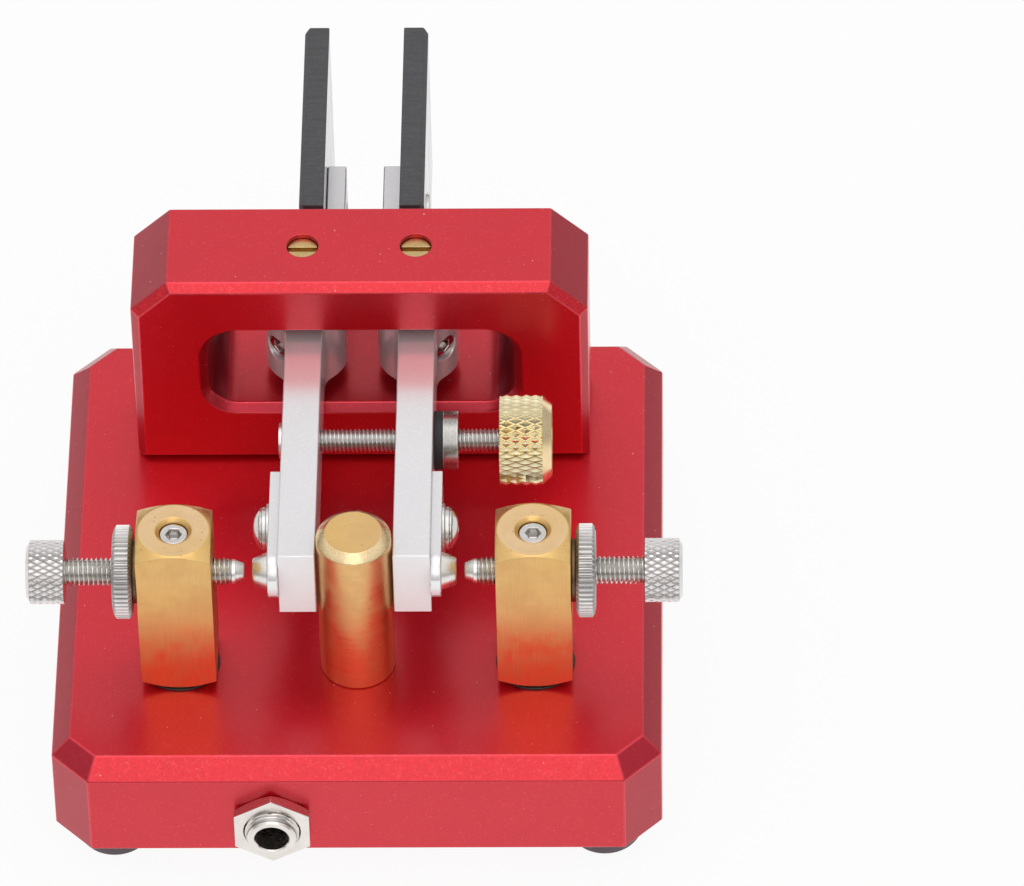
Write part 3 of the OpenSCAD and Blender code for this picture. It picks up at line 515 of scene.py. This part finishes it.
BLACK_WIRE = matt_moulding(
    "wire_black", (0.024, 0.024, 0.025), (0.014, 0.014, 0.015),
    rough=0.36, fineness=2600.0, depth=0.004)


# Making pieces

def settle(piece, node):
    """The piece stands for a CAD node and moves with its body."""
    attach(piece, NODES[node]["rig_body"])
    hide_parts(node)


def shown(name, mesh, *materials):
    for material in materials:
        mesh.materials.append(material)
    piece = bpy.data.objects.new(name, mesh)
    scene.collection.objects.link(piece)
    return piece


def plain_mesh(host):
    """Swaps a host's mesh for what its modifiers make of it, and takes the modifiers off."""
    graph = bpy.context.evaluated_depsgraph_get()
    made = bpy.data.meshes.new_from_object(host.evaluated_get(graph))
    host.modifiers.clear()
    host.data = made
    return host


def joined(name, *parts):
    override = {"active_object": parts[0], "selected_editable_objects": list(parts)}
    with bpy.context.temp_override(**override):
        bpy.ops.object.join()
    parts[0].name = name
    parts[0].data.name = name
    return parts[0]


def welded(node):
    """Copy of a CAD node's mesh, with its triangles joined into whole faces."""
    work = bmesh.new()
    work.from_mesh(NODES[node].data)
    bmesh.ops.remove_doubles(work, verts=work.verts, dist=0.0005 * MM)
    bmesh.ops.dissolve_limit(work, angle_limit=math.radians(0.4), verts=work.verts,
                             edges=work.edges)
    return work


def cut_off(work, point, outward):
    """Cuts away what lies beyond a plane."""
    whole = list(work.verts) + list(work.edges) + list(work.faces)
    bmesh.ops.bisect_plane(work, geom=whole, plane_co=point, plane_no=outward, clear_outer=True)


def cap(work):
    """Closes open ends."""
    bmesh.ops.holes_fill(work, edges=[e for e in work.edges if e.is_boundary], sides=0)


def filled(name, work):
    """New mesh from a finished work mesh."""
    mesh = bpy.data.meshes.new(name)
    work.to_mesh(mesh)
    work.free()
    return mesh


def shade(mesh, sharp):
    """Smooth shading, but not over edges sharper than an angle in degrees."""
    mesh.shade_smooth()
    mesh.set_sharp_from_angle(angle=math.radians(sharp))


def onto(start, axis):
    """Matrix that puts what was made along Z from the origin on an axis from a start."""
    return Matrix.Translation(start) @ Z.rotation_difference(axis).to_matrix().to_4x4()


def lodged(name, work, start, axis, material, sharp):
    """Finishes a mesh made along Z and puts it in its place."""
    bmesh.ops.recalc_face_normals(work, faces=work.faces)
    mesh = filled(name, work)
    mesh.transform(onto(start, axis))
    shade(mesh, sharp)
    return shown(name, mesh, material)


def eased(node, slot, material, edge_mm, edge_material=None):
    """A CAD solid with its sharp edges broken by a small round."""
    name = node + "_piece"
    mesh = filled(name, welded(node))
    mesh.shade_smooth()
    piece = shown(name, mesh, material)
    bevel = piece.modifiers.new("edges", "BEVEL")
    bevel.width = edge_mm * MM
    bevel.segments = 2
    bevel.limit_method = "ANGLE"
    bevel.angle_limit = math.radians(28)
    bevel.use_clamp_overlap = False
    # The rounds can take a second material, a painted highlight.
    if edge_material:
        mesh.materials.append(edge_material)
        bevel.material = 1
    piece.modifiers.new("shading", "WEIGHTED_NORMAL").weight = 100
    settle(plain_mesh(piece), node)


def turned(name, outline, start, axis, material, sides=72, sharp=32, ring=False):
    """Round piece: (distance along the axis, radius) pairs in millimetres, closed if a ring."""
    work = bmesh.new()
    rows = []
    for distance, radius in outline:
        if radius < 1e-6:
            rows.append([work.verts.new((0, 0, distance * MM))] * sides)
            continue
        rows.append([work.verts.new((radius * MM * math.cos(math.tau * k / sides),
                                     radius * MM * math.sin(math.tau * k / sides),
                                     distance * MM))
                     for k in range(sides)])
    pairs = list(zip(rows, rows[1:])) + ([(rows[-1], rows[0])] if ring else [])
    for low, high in pairs:
        for k in range(sides):
            corners = []
            for vertex in (low[k], low[(k + 1) % sides], high[(k + 1) % sides], high[k]):
                if vertex not in corners:
                    corners.append(vertex)
            if len(corners) > 2:
                work.faces.new(corners)
    return lodged(name, work, start, axis, material, sharp)


# Geometry node trees

INT, OBJECT, MATERIAL = "NodeSocketInt", "NodeSocketObject", "NodeSocketMaterial"


def growth(name, **inputs):
    """Geometry tree with named inputs, the last of them the finish."""
    tree = bpy.data.node_groups.new(name, "GeometryNodeTree")
    tree.interface.new_socket("Geometry", in_out="INPUT", socket_type="NodeSocketGeometry")
    for label, kind in (*inputs.items(), ("Finish", MATERIAL)):
        tree.interface.new_socket(label.replace("_", " "), in_out="INPUT", socket_type=kind)
    tree.interface.new_socket("Geometry", in_out="OUTPUT", socket_type="NodeSocketGeometry")
    return tree, tree.nodes.new("NodeGroupInput").outputs


def ends_in(tree, given, geometry):
    whole = add(tree, "GeometryNodeRealizeInstances", {"Geometry": geometry}).outputs[0]
    sockets = {"Geometry": whole, "Material": given["Finish"]}
    painted = add(tree, "GeometryNodeSetMaterial", sockets).outputs[0]
    tree.links.new(painted, tree.nodes.new("NodeGroupOutput").inputs[0])
    return tree


def grown(name, tree, mesh=None, **values):
    """Runs a tree once and keeps what it makes as a plain mesh."""
    host = shown(name, mesh or bpy.data.meshes.new(name))
    modifier = host.modifiers.new("growth", "NODES")
    modifier.node_group = tree
    sockets = {s.name: s.identifier for s in tree.interface.items_tree if s.in_out == "INPUT"}
    for label, value in values.items():
        modifier[sockets[label.replace("_", " ")]] = value
    return plain_mesh(host)


def placed_at(tree, geometry, place):
    sockets = {"Geometry": geometry, "Position": place}
    return add(tree, "GeometryNodeSetPosition", sockets).outputs[0]


def rolled(tree, radius, turn, height):
    """Place at an angle round Z."""
    return combined(tree, x=times(tree, radius, calc(tree, "COSINE", turn)),
                    y=times(tree, radius, calc(tree, "SINE", turn)), z=height)


def copies_on(tree, points, shape, **sockets):
    sockets = {"Points": points, "Instance": shape, **sockets}
    return add(tree, "GeometryNodeInstanceOnPoints", sockets).outputs[0]


def faced(tree, **turns):
    return add(tree, "FunctionNodeEulerToRotation", {0: combined(tree, **turns)}).outputs[0]


def shape_of(tree, given):
    return add(tree, "GeometryNodeObjectInfo", {"Object": given["Shape"]}).outputs["Geometry"]


def thread_tree():
    """Screw thread round Z: a grid rolled up, its radius dipping once for each turn and pitch."""
    tree, given = growth("thread", Radius=FLOAT, Depth=FLOAT, Pitch=FLOAT, Length=FLOAT,
                         Rows=INT, Sides=INT)
    grid = add(tree, "GeometryNodeMeshGrid", {
        "Size X": 1.0, "Size Y": 1.0, "Vertices X": given["Rows"],
        "Vertices Y": plus(tree, given["Sides"], 1.0)})
    part = split(tree, add(tree, "GeometryNodeInputPosition").outputs[0])
    share = plus(tree, part[0], 0.5)
    round_share = plus(tree, part[1], 0.5)
    height = times(tree, share, given["Length"])
    pitches = calc(tree, "DIVIDE", height, given["Pitch"])
    phase = calc(tree, "FRACT", minus(tree, pitches, round_share))
    slope = calc(tree, "ABSOLUTE", minus(tree, times(tree, phase, 2.0), 1.0))
    crest = spread(tree, minus(tree, 1.0, slope), 0.12, 0.82)
    nearer_end = calc(tree, "MINIMUM", share, minus(tree, 1.0, share))
    end = calc(tree, "DIVIDE", times(tree, nearer_end, given["Length"]), given["Pitch"])
    fade = spread(tree, end, 0.1, 0.9)
    lift = times(tree, times(tree, crest, fade), given["Depth"])
    radius = plus(tree, minus(tree, given["Radius"], given["Depth"]), lift)
    place = rolled(tree, radius, times(tree, round_share, math.tau), height)
    tube = placed_at(tree, grid.outputs[0], place)
    sockets = {"Geometry": tube, "Distance": 0.0002 * MM}
    return ends_in(tree, given, add(tree, "GeometryNodeMergeByDistance", sockets).outputs[0])


def knurl_tree():
    """Diamond knurl round Z: pyramids with flat tops on a staggered net."""
    tree, given = growth("knurl", Radius=FLOAT, Depth=FLOAT, Count=INT, Rows=INT,
                         Row_Step=FLOAT, First_Row=FLOAT, Flat=FLOAT)
    points = add(tree, "GeometryNodePoints", {"Count": times(tree, given["Count"], given["Rows"])})
    index = add(tree, "GeometryNodeInputIndex").outputs[0]
    row = calc(tree, "FLOOR", calc(tree, "DIVIDE", plus(tree, index, 0.25), given["Count"]))
    spot = minus(tree, index, times(tree, row, given["Count"]))
    stagger = times(tree, calc(tree, "MODULO", row, 2.0), 0.5)
    step = calc(tree, "DIVIDE", math.tau, given["Count"])
    turn = times(tree, plus(tree, spot, stagger), step)
    foot = minus(tree, given["Radius"], given["Depth"])
    height = plus(tree, given["First Row"], times(tree, row, given["Row Step"]))
    net = placed_at(tree, points.outputs[0], rolled(tree, foot, turn, height))
    pyramid = add(tree, "GeometryNodeMeshCone", {
        "Vertices": 4, "Radius Bottom": 1.0, "Radius Top": given["Flat"], "Depth": 1.0})
    facing = faced(tree, x=math.pi / 2, z=plus(tree, turn, math.pi / 2))
    half = times(tree, times(tree, step, 0.5), given["Radius"])
    size = combined(tree, x=half, y=given["Row Step"], z=given["Depth"])
    band = copies_on(tree, net, pyramid.outputs["Mesh"], Rotation=facing, Scale=size)
    return ends_in(tree, given, band)


def around_tree():
    """Copies of one small shape round Z."""
    tree, given = growth("around", Shape=OBJECT, Count=INT)
    circle = add(tree, "GeometryNodeMeshCircle", {"Vertices": given["Count"], "Radius": 0.0})
    index = add(tree, "GeometryNodeInputIndex").outputs[0]
    turn = calc(tree, "DIVIDE", times(tree, index, math.tau), given["Count"])
    facing = faced(tree, z=turn)
    copies = copies_on(tree, circle.outputs[0], shape_of(tree, given), Rotation=facing)
    return ends_in(tree, given, copies)


def set_out_tree():
    """One shape at each point of a mesh."""
    tree, given = growth("set_out", Shape=OBJECT)
    return ends_in(tree, given, copies_on(tree, given["Geometry"], shape_of(tree, given)))


def wire_tree():
    """Round wire along a line of points."""
    tree, given = growth("wire", Radius=FLOAT)
    line = add(tree, "GeometryNodeMeshToCurve", {0: given["Geometry"]}).outputs[0]
    section = add(tree, "GeometryNodeCurvePrimitiveCircle", {
        "Resolution": 20, "Radius": given["Radius"]}).outputs[0]
    tube = add(tree, "GeometryNodeCurveToMesh", {
        "Curve": line, "Profile Curve": section, "Fill Caps": True}).outputs[0]
    return ends_in(tree, given, tube)


THREAD, KNURL, AROUND = thread_tree(), knurl_tree(), around_tree()
SET_OUT, WIRE = set_out_tree(), wire_tree()

# Threads in millimetres: outer radius, depth and pitch
M3 = (1.5, 0.27, 0.5)
M2_5 = (1.25, 0.24, 0.45)
BUSH_THREAD = (2.9, 0.28, 0.5)
ROWS_PER_PITCH = 8


def threaded_rod(name, size, length, start, axis, material, sides=40, closed=True):
    radius, depth, pitch = size
    rod = grown(name, THREAD, Radius=radius * MM, Depth=depth * MM, Pitch=pitch * MM,
                Length=length * MM, Rows=int(ROWS_PER_PITCH * length / pitch) + 1, Sides=sides,
                Finish=material)
    work = bmesh.new()
    work.from_mesh(rod.data)
    if closed:
        cap(work)
    bpy.data.objects.remove(rod)
    return lodged(name, work, start, axis, material, sharp=45)


def knurled_band(name, radius, depth, count, row_step, first, flat, ends, start, axis, material):
    """Knurl between two distances along the axis, its outer diamonds cut off there."""
    rows = int((ends[1] - first) / row_step) + 2
    band = grown(name, KNURL, Radius=radius * MM, Depth=depth * MM, Count=count, Rows=rows,
                 Row_Step=row_step * MM, First_Row=first * MM, Flat=flat, Finish=material)
    work = bmesh.new()
    work.from_mesh(band.data)
    for end, outward in zip(ends, (-Z, Z)):
        cut_off(work, Z * end * MM, outward)
    cap(work)
    work.to_mesh(band.data)
    work.free()
    band.data.transform(onto(start, axis))
    return band


# Milled, bent and small pieces that keep the CAD solid's form

# Node, slot, finish, broken edges in millimetres, and the lighter material that paints a highlight
# on the rounded edges, where it differs
EASED = [
    ("base_plate", "red_anodised", RED, 0.16, RED_EDGE_HIGHLIGHT),
    ("bridge", "red_anodised", RED, 0.14, RED_EDGE_HIGHLIGHT),
    ("left_lever", "lever_aluminium", SATIN, 0.16),
    ("right_lever", "lever_aluminium", SATIN, 0.16),
    ("left_contact_post", "brass", BRASS, 0.07),
    ("right_contact_post", "brass", BRASS, 0.07),
    ("post_washers", "nylon", BLACK_FIBRE, 0.06),
    ("post_bushes", "nylon", NYLON, 0.10),
    ("post_screws", "stainless", STEEL, 0.10),
    ("stop_post_screw", "stainless", STEEL, 0.10),
    ("bridge_screws", "black_steel", DARK_STEEL, 0.12),
    ("post_grub_screws", "stainless", CHROME, 0.16),
    ("upper_pivot_screws", "brass", SCREW_BRASS, 0.07),
    ("lower_pivot_screws", "brass", SCREW_BRASS, 0.07),
    ("solder_tags", "tinned", TIN, 0.05),
    ("jack_body", "jack_plastic", JACK_PLASTIC, 0.14),
    ("jack_tags", "tinned", TIN, 0.05),
    ("jack_nut", "jack_nickel", NICKEL, 0.06),
    ("rubber_washer", "rubber", RUBBER, 0.10),
    # The ring magnet's edge rounds take the lighter steel as a painted highlight.
    ("ring_magnet", "magnet_nickel", MAGNET, 0.14, STEEL),
    ("knob_magnet", "magnet_nickel", MAGNET, 0.10),
]
for side in SIDES:
    EASED += [
        (side + "pivot_pin", "stainless", STEEL, 0.05),
        (side + "hub_screw", "stainless", CHROME, 0.10),
        (side + "paddle", "paddle_plastic", PADDLE, 0.12),
        (side + "paddle_screws", "stainless", STEEL, 0.12),
        (side + "strip", "lever_aluminium", SATIN, 0.10),
        (side + "strip_washer", "stainless", STEEL, 0.05),
        (side + "spring_washer", "stainless", STEEL, 0.06),
        (side + "strip_screw", "stainless", CHROME, 0.07),
        (side + "nut_washer", "stainless", NUT_WASHER_SHADE, 0.08),
    ]
for entry in EASED:
    eased(*entry)


# Faces with a finish of their own, or with painted highlight or painted shade

def refaced(name, material, chosen):
    """Gives some faces of a piece their own material, but leaves its rounded edges."""
    mesh = bpy.data.objects[name].data
    mesh.materials.append(material)
    for face in mesh.polygons:
        if face.material_index == 0 and chosen(face):
            face.material_index = len(mesh.materials) - 1


def is_bevel(face):
    """Whether a face slopes between upright and level, or between two sides."""
    return sorted(abs(part) for part in face.normal)[1] > 0.4


def is_lit_bevel(face):
    """Whether a bevel lies between top and front or back, where it mirrors the brightest light."""
    return is_bevel(face) and abs(face.normal.y) > 0.6 and face.normal.z > 0.4


def is_front_end(face):
    return face.normal.y < -0.9


window_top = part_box("left_lever")[1].z + 3.0 * MM
# Painted highlight on the bevels that face the brightest light, painted shade on the other bevels.
refaced("base_plate_piece", RED_LIT_BEVEL, is_lit_bevel)
refaced("base_plate_piece", RED_SHADED_BEVEL, is_bevel)
refaced("bridge_piece", RED_LIT_BEVEL, lambda face: is_lit_bevel(face) and face.center.z > window_top)
refaced("bridge_piece", RED_SHADED_BEVEL, is_bevel)
for side in SIDES:
    # The front end faces take the painted highlight copy of the satin.
    refaced(side + "lever_piece", SATIN_LIT_END, is_front_end)
    refaced(side + "strip_piece", SATIN_LIT_END, is_front_end)
    refaced(side + "paddle_piece", PADDLE_EDGE, lambda face: abs(face.normal.x) < 0.9)
    refaced(side + "contact_post_piece", POST_TOP[side], lambda face: face.normal.z > 0.99)


# Turned pieces, measured in millimetres along their axes

def stop_post():
    low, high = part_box("stop_post")
    centre = middle("stop_post")
    radius, tall = (high.x - low.x) / 2 / MM, (high.z - low.z) / MM
    outline = [(0, 0), (0, radius - 0.15), (0.15, radius), (tall - 0.80, radius),
               (tall - 0.70, radius - 0.06), (tall - 0.05, radius - 0.88), (tall, radius - 0.97),
               (tall, 0)]
    piece = turned("stop_post_piece", outline, Vector((centre.x, centre.y, low.z)), Z,
                   TURNED_BRASS, sides=96, sharp=25)
    refaced("stop_post_piece", FILED_BRASS, lambda face: 0.2 < face.normal.z < 0.95)
    settle(piece, "stop_post")


def side_sign(side):
    return -1 if side == "left_" else 1


def end_nearest(node, sign):
    """Point on a crosswise piece's axis at its end nearest the middle of the key."""
    low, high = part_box(node)
    centre = middle(node)
    return Vector((low.x if sign > 0 else high.x, centre.y, centre.z))


def contact_stud(side):
    sign = side_sign(side)
    low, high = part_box(side + "stud")
    strip_low, strip_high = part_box(side + "strip")
    face = strip_high.x if sign > 0 else strip_low.x
    centre = middle(side + "stud")
    long = (abs(high.x if sign > 0 else low.x) - abs(face)) / MM
    outline = [(-0.5, 0), (-0.5, 1.0), (0, 1.0), (0, 1.92), (0.08, 2.0), (long - 0.14, 1.50),
               (long, 1.36), (long, 0)]
    piece = turned(side + "stud_piece", outline, Vector((face, centre.y, centre.z)), X * sign,
                   SILVER, sides=56)
    settle(piece, side + "stud")


def contact_tip(side):
    sign = side_sign(side)
    node = side + "contact_tip"
    outline = [(0, 0), (0, 0.82), (0.1, 0.94), (0.85, 1.22), (0.95, 1.30), (1.3, 1.34), (1.3, 0)]
    piece = turned(node + "_piece", outline, end_nearest(node, sign), X * sign, SILVER, sides=48)
    settle(piece, node)


def contact_screw(side):
    axis = X * side_sign(side)
    node = side + "contact_screw"
    low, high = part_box(node)
    long = (high.x - low.x) / MM
    head_long, overlap = 4.0, 0.3
    head = long - head_long
    start = end_nearest(node, side_sign(side))
    outline = [(head, 0), (head, 3.05), (head + 0.1, 3.19), (long - 0.38, 3.19),
               (long - 0.34, 3.22), (long - 0.04, 2.76), (long, 2.70), (long, 0)]
    rod = threaded_rod(side + "screw_rod", M3, head + overlap, start, axis, THREAD_STEEL)
    core = turned(side + "screw_head", outline, start, axis, SCREW_STEEL)
    knurl = knurled_band(side + "screw_knurl", radius=3.4, depth=0.22, count=30, row_step=0.67,
                         first=0.03, flat=0.38, ends=(0.02, 3.64), start=start + axis * head * MM,
                         axis=axis, material=KNURLED_STEEL)
    settle(joined(node + "_piece", rod, core, knurl), node)


RIBS_ON_NUT = 52


def nut_rib(name, thick):
    """One rib of a thumb nut, along Z at its place on the +X side."""
    section = [(4.66, -0.23), (4.98, -0.055), (4.98, 0.055), (4.66, 0.23)]
    levels = [(0.08, 0.42), (0.36, 0.0), (thick - 0.36, 0.0), (thick - 0.08, 0.42)]
    lowest = 4.5
    work = bmesh.new()
    rings = [[work.verts.new((max(reach - inset, lowest) * MM, across * MM, height * MM))
              for reach, across in section] for height, inset in levels]
    for low, high in zip(rings, rings[1:]):
        for i, j in ((0, 1), (1, 2), (2, 3), (3, 0)):
            work.faces.new((low[i], low[j], high[j], high[i]))
    work.faces.new(rings[0][::-1])
    work.faces.new(rings[-1])
    return lodged(name, work, ORIGIN, Z, RIBBED_STEEL, sharp=20)


def thumb_nut(side):
    axis = X * side_sign(side)
    node = side + "thumb_nut"
    low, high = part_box(node)
    thick = (high.x - low.x) / MM
    start = end_nearest(node, side_sign(side))
    outline = [(0, 1.55), (0, 4.2), (0.34, 4.68), (thick - 0.34, 4.68), (thick, 4.2),
               (thick, 1.95), (thick - 0.35, 1.55)]
    core = turned(side + "nut_core", outline, start, axis, NUT_STEEL, sides=104, ring=True)
    rib = nut_rib(side + "nut_rib", thick)
    ribs = grown(side + "nut_ribs", AROUND, Shape=rib, Count=RIBS_ON_NUT, Finish=RIBBED_STEEL)
    bpy.data.objects.remove(rib)
    ribs.data.transform(onto(start, axis))
    settle(joined(node + "_piece", core, ribs), node)


def tension_screw():
    node = "tension_screw"
    low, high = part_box(node)
    centre = middle("tension_knob")
    head_long, overlap = 1.6 * MM, 0.15 * MM
    neck = low.x + head_long
    work = welded(node)
    cut_off(work, X * neck, X)
    cap(work)
    mesh = filled("tension_head", work)
    shade(mesh, sharp=30)
    head = shown("tension_head", mesh, ROD_STEEL)
    start = Vector((neck - overlap, centre.y, centre.z))
    rod = threaded_rod("tension_rod", M2_5, (high.x - start.x) / MM, start, X, ROD_STEEL, sides=36)
    settle(joined("tension_screw_piece", head, rod), node)


def tension_knob():
    node = "tension_knob"
    low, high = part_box(node)
    centre = middle(node)
    long = (high.x - low.x) / MM
    start = Vector((low.x, centre.y, centre.z))
    outline = [(0, 3.2), (0, 4.45), (0.1, 4.57), (long - 1.0, 4.57), (long - 0.95, 4.72),
               (long - 0.06, 3.92), (long, 3.86), (long, 1.65), (long - 0.35, 1.30),
               (1.75, 1.30), (1.75, 3.2)]
    core = turned("knob_core", outline, start, X, GOLD, sides=96, ring=True)
    knurl = knurled_band("knob_knurl", radius=4.86, depth=0.33, count=40, row_step=1.03,
                         first=-0.27, flat=0.06, ends=(0.03, long - 0.95), start=start, axis=X,
                         material=KNURLED_GOLD)
    settle(joined("tension_knob_piece", core, knurl), node)


def jack_bush():
    node = "jack_bush"
    low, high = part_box(node)
    centre = middle(node)
    long = (high.y - low.y) / MM
    start = Vector((centre.x, high.y, centre.z))
    outline = [(0, 2.62), (0, 1.8), (long - 0.16, 1.8), (long - 0.02, 1.9), (long, 1.95),
               (long, 2.44), (long - 0.2, 2.62)]
    thread = threaded_rod("bush_thread", BUSH_THREAD, long - 0.2, start, -Y, BUSH_NICKEL,
                          sides=64, closed=False)
    sleeve = turned("bush_sleeve", outline, start, -Y, NICKEL, sides=64)
    settle(joined("jack_bush_piece", thread, sleeve), node)


stop_post()
for side in SIDES:
    contact_stud(side)
    contact_tip(side)
    contact_screw(side)
    thumb_nut(side)
tension_screw()
tension_knob()
jack_bush()


# Rubber feet

def rubber_feet():
    low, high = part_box("rubber_feet")
    tall = (high.z - low.z) / MM
    inset = 4.25 * MM
    outline = [(0, 0), (0, 3.55), (0.12, 3.78), (0.4, 3.95), (tall - 0.2, 4.23), (tall, 4.15),
               (tall, 0)]
    foot = turned("foot_shape", outline, ORIGIN, Z, FOOT_RUBBER, sides=64, sharp=40)
    places = [(x, y, low.z) for x in (low.x + inset, high.x - inset)
              for y in (low.y + inset, high.y - inset)]
    spots = bpy.data.meshes.new("foot_places")
    spots.from_pydata(places, [], [])
    feet = grown("rubber_feet_piece", SET_OUT, spots, Shape=foot, Finish=FOOT_RUBBER)
    bpy.data.objects.remove(foot)
    settle(feet, "rubber_feet")


rubber_feet()


# Wires under the base plate

def wire(node, material, jack_end_low):
    """Wire from a jack tag to a solder tag, its jack end on the low X side or the high one."""
    low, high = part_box(node)
    radius = (high.z - low.z) / 2
    level = (low.z + high.z) / 2
    far = high.y - radius
    first, last = low.x + radius, high.x - radius
    bend, steps = 2.0 * MM, 10
    ends = [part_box("jack_tags")[1].y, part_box("solder_tags")[1].y]
    if not jack_end_low:
        ends.reverse()
    arc = [math.pi / 2 * k / steps for k in range(steps + 1)]
    points = [(first, ends[0])]
    points += [(first + bend - bend * math.cos(a), far - bend + bend * math.sin(a)) for a in arc]
    points += [(last - bend + bend * math.sin(a), far - bend + bend * math.cos(a)) for a in arc]
    points.append((last, ends[1]))
    route = bpy.data.meshes.new(node + "_route")
    links = [(k, k + 1) for k in range(len(points) - 1)]
    route.from_pydata([(x, y, level) for x, y in points], links, [])
    piece = grown(node + "_piece", WIRE, route, Radius=radius, Finish=material)
    shade(piece.data, sharp=50)
    settle(piece, node)


wire("left_wire", BLUE_WIRE, False)
wire("right_wire", YELLOW_WIRE, True)
wire("common_wire", BLACK_WIRE, True)


# Bench: camera, white floor, white surroundings and one soft lamp

def aim(place, target, roll=0.0):
    """Matrix that looks from a place at a target."""
    turn = (target - place).to_track_quat("-Z", "Y").to_matrix()
    return Matrix.Translation(place) @ (turn @ Matrix.Rotation(roll, 3, "Z")).to_4x4()


def bench_camera():
    tilt, swing, roll = 0.7981135, -0.0292633, -0.0246032
    away = 1145.571 * MM
    target = Vector((16.0217, 7.0073, 14.25)) * MM
    focal_pixels, picture_pixels, sensor_mm = 10467.80, 1024.0, 36.0
    ahead = Vector((math.sin(swing) * math.cos(tilt), math.cos(swing) * math.cos(tilt),
                    -math.sin(tilt)))
    data = bpy.data.cameras.new("bench_camera")
    data.sensor_fit = "HORIZONTAL"
    data.sensor_width = sensor_mm
    data.lens = focal_pixels * sensor_mm / picture_pixels
    data.clip_start = 0.01
    data.clip_end = 20.0
    camera = bpy.data.objects.new("bench_camera", data)
    camera.matrix_world = aim(target - away * ahead, target, roll)
    scene.collection.objects.link(camera)
    scene.camera = camera


def seen(tree):
    """Light path sockets, and 1 for rays that are seen straight, mirrored or through something."""
    path = add(tree, "ShaderNodeLightPath").outputs
    direct = calc(tree, "MAXIMUM", path["Is Camera Ray"], path["Is Glossy Ray"])
    return path, calc(tree, "MAXIMUM", direct, path["Is Transmission Ray"])


def white_floor():
    reach, drop, glow_share = 3.0, 0.1 * MM, 0.93
    mesh = bpy.data.meshes.new("floor")
    corners = [(-reach, -reach), (reach, -reach), (reach, reach), (-reach, reach)]
    mesh.from_pydata([(x, y, -drop) for x, y in corners], [], [(0, 1, 2, 3)])
    material = bpy.data.materials.new("floor_white")
    material.use_nodes = True
    tree = material.node_tree
    shader = tree.nodes["Principled BSDF"]
    shader.inputs["Base Color"].default_value = (0.86, 0.86, 0.86, 1)
    shader.inputs["Roughness"].default_value = 0.9
    shader.inputs["Specular IOR Level"].default_value = 0.0
    looked_at = seen(tree)[1]
    glow = add(tree, "ShaderNodeEmission", {"Color": (1, 1, 1), "Strength": 1.0}).outputs[0]
    sockets = {0: times(tree, looked_at, glow_share), 1: shader.outputs[0], 2: glow}
    mixed = add(tree, "ShaderNodeMixShader", sockets).outputs[0]
    tree.links.new(mixed, tree.nodes["Material Output"].inputs["Surface"])
    floor = shown("floor", mesh, material)


def white_surroundings():
    """White for the camera, plain light on the pieces, and a sky for mirrors, bright overhead."""
    world = bpy.data.worlds.new("surroundings")
    world.use_nodes = True
    tree = world.node_tree
    tree.nodes.clear()
    path, looked_at = seen(tree)
    height = split(tree, add(tree, "ShaderNodeTexCoord").outputs["Generated"])[2]
    horizon, sky, overhead, plain, white = 0.15, 0.88, 0.9, 0.85, 1.0
    rising = spread(tree, height, 0.0, 0.55, horizon, sky)
    mirrored = plus(tree, rising, spread(tree, height, 0.88, 0.97, 0.0, overhead))
    looked_into = spread(tree, path["Is Camera Ray"], 0.0, 1.0, mirrored, white)
    strength = spread(tree, looked_at, 0.0, 1.0, plain, looked_into)
    sockets = {"Color": (1, 1, 1), "Strength": strength}
    light = add(tree, "ShaderNodeBackground", sockets).outputs[0]
    tree.links.new(light, add(tree, "ShaderNodeOutputWorld").inputs["Surface"])
    scene.world = world


def soft_lamp(name, place, size, watts):
    data = bpy.data.lights.new(name, "AREA")
    data.shape = "DISK"
    data.size = size
    data.energy = watts
    lamp = bpy.data.objects.new(name, data)
    lamp.matrix_world = aim(Vector(place), Vector((0, 0, 15 * MM)))
    scene.collection.objects.link(lamp)


bench_camera()
white_floor()
white_surroundings()
soft_lamp("window", place=(0.05, -0.95, 1.0), size=1.1, watts=1.8)
scene.view_settings.view_transform = "Standard"
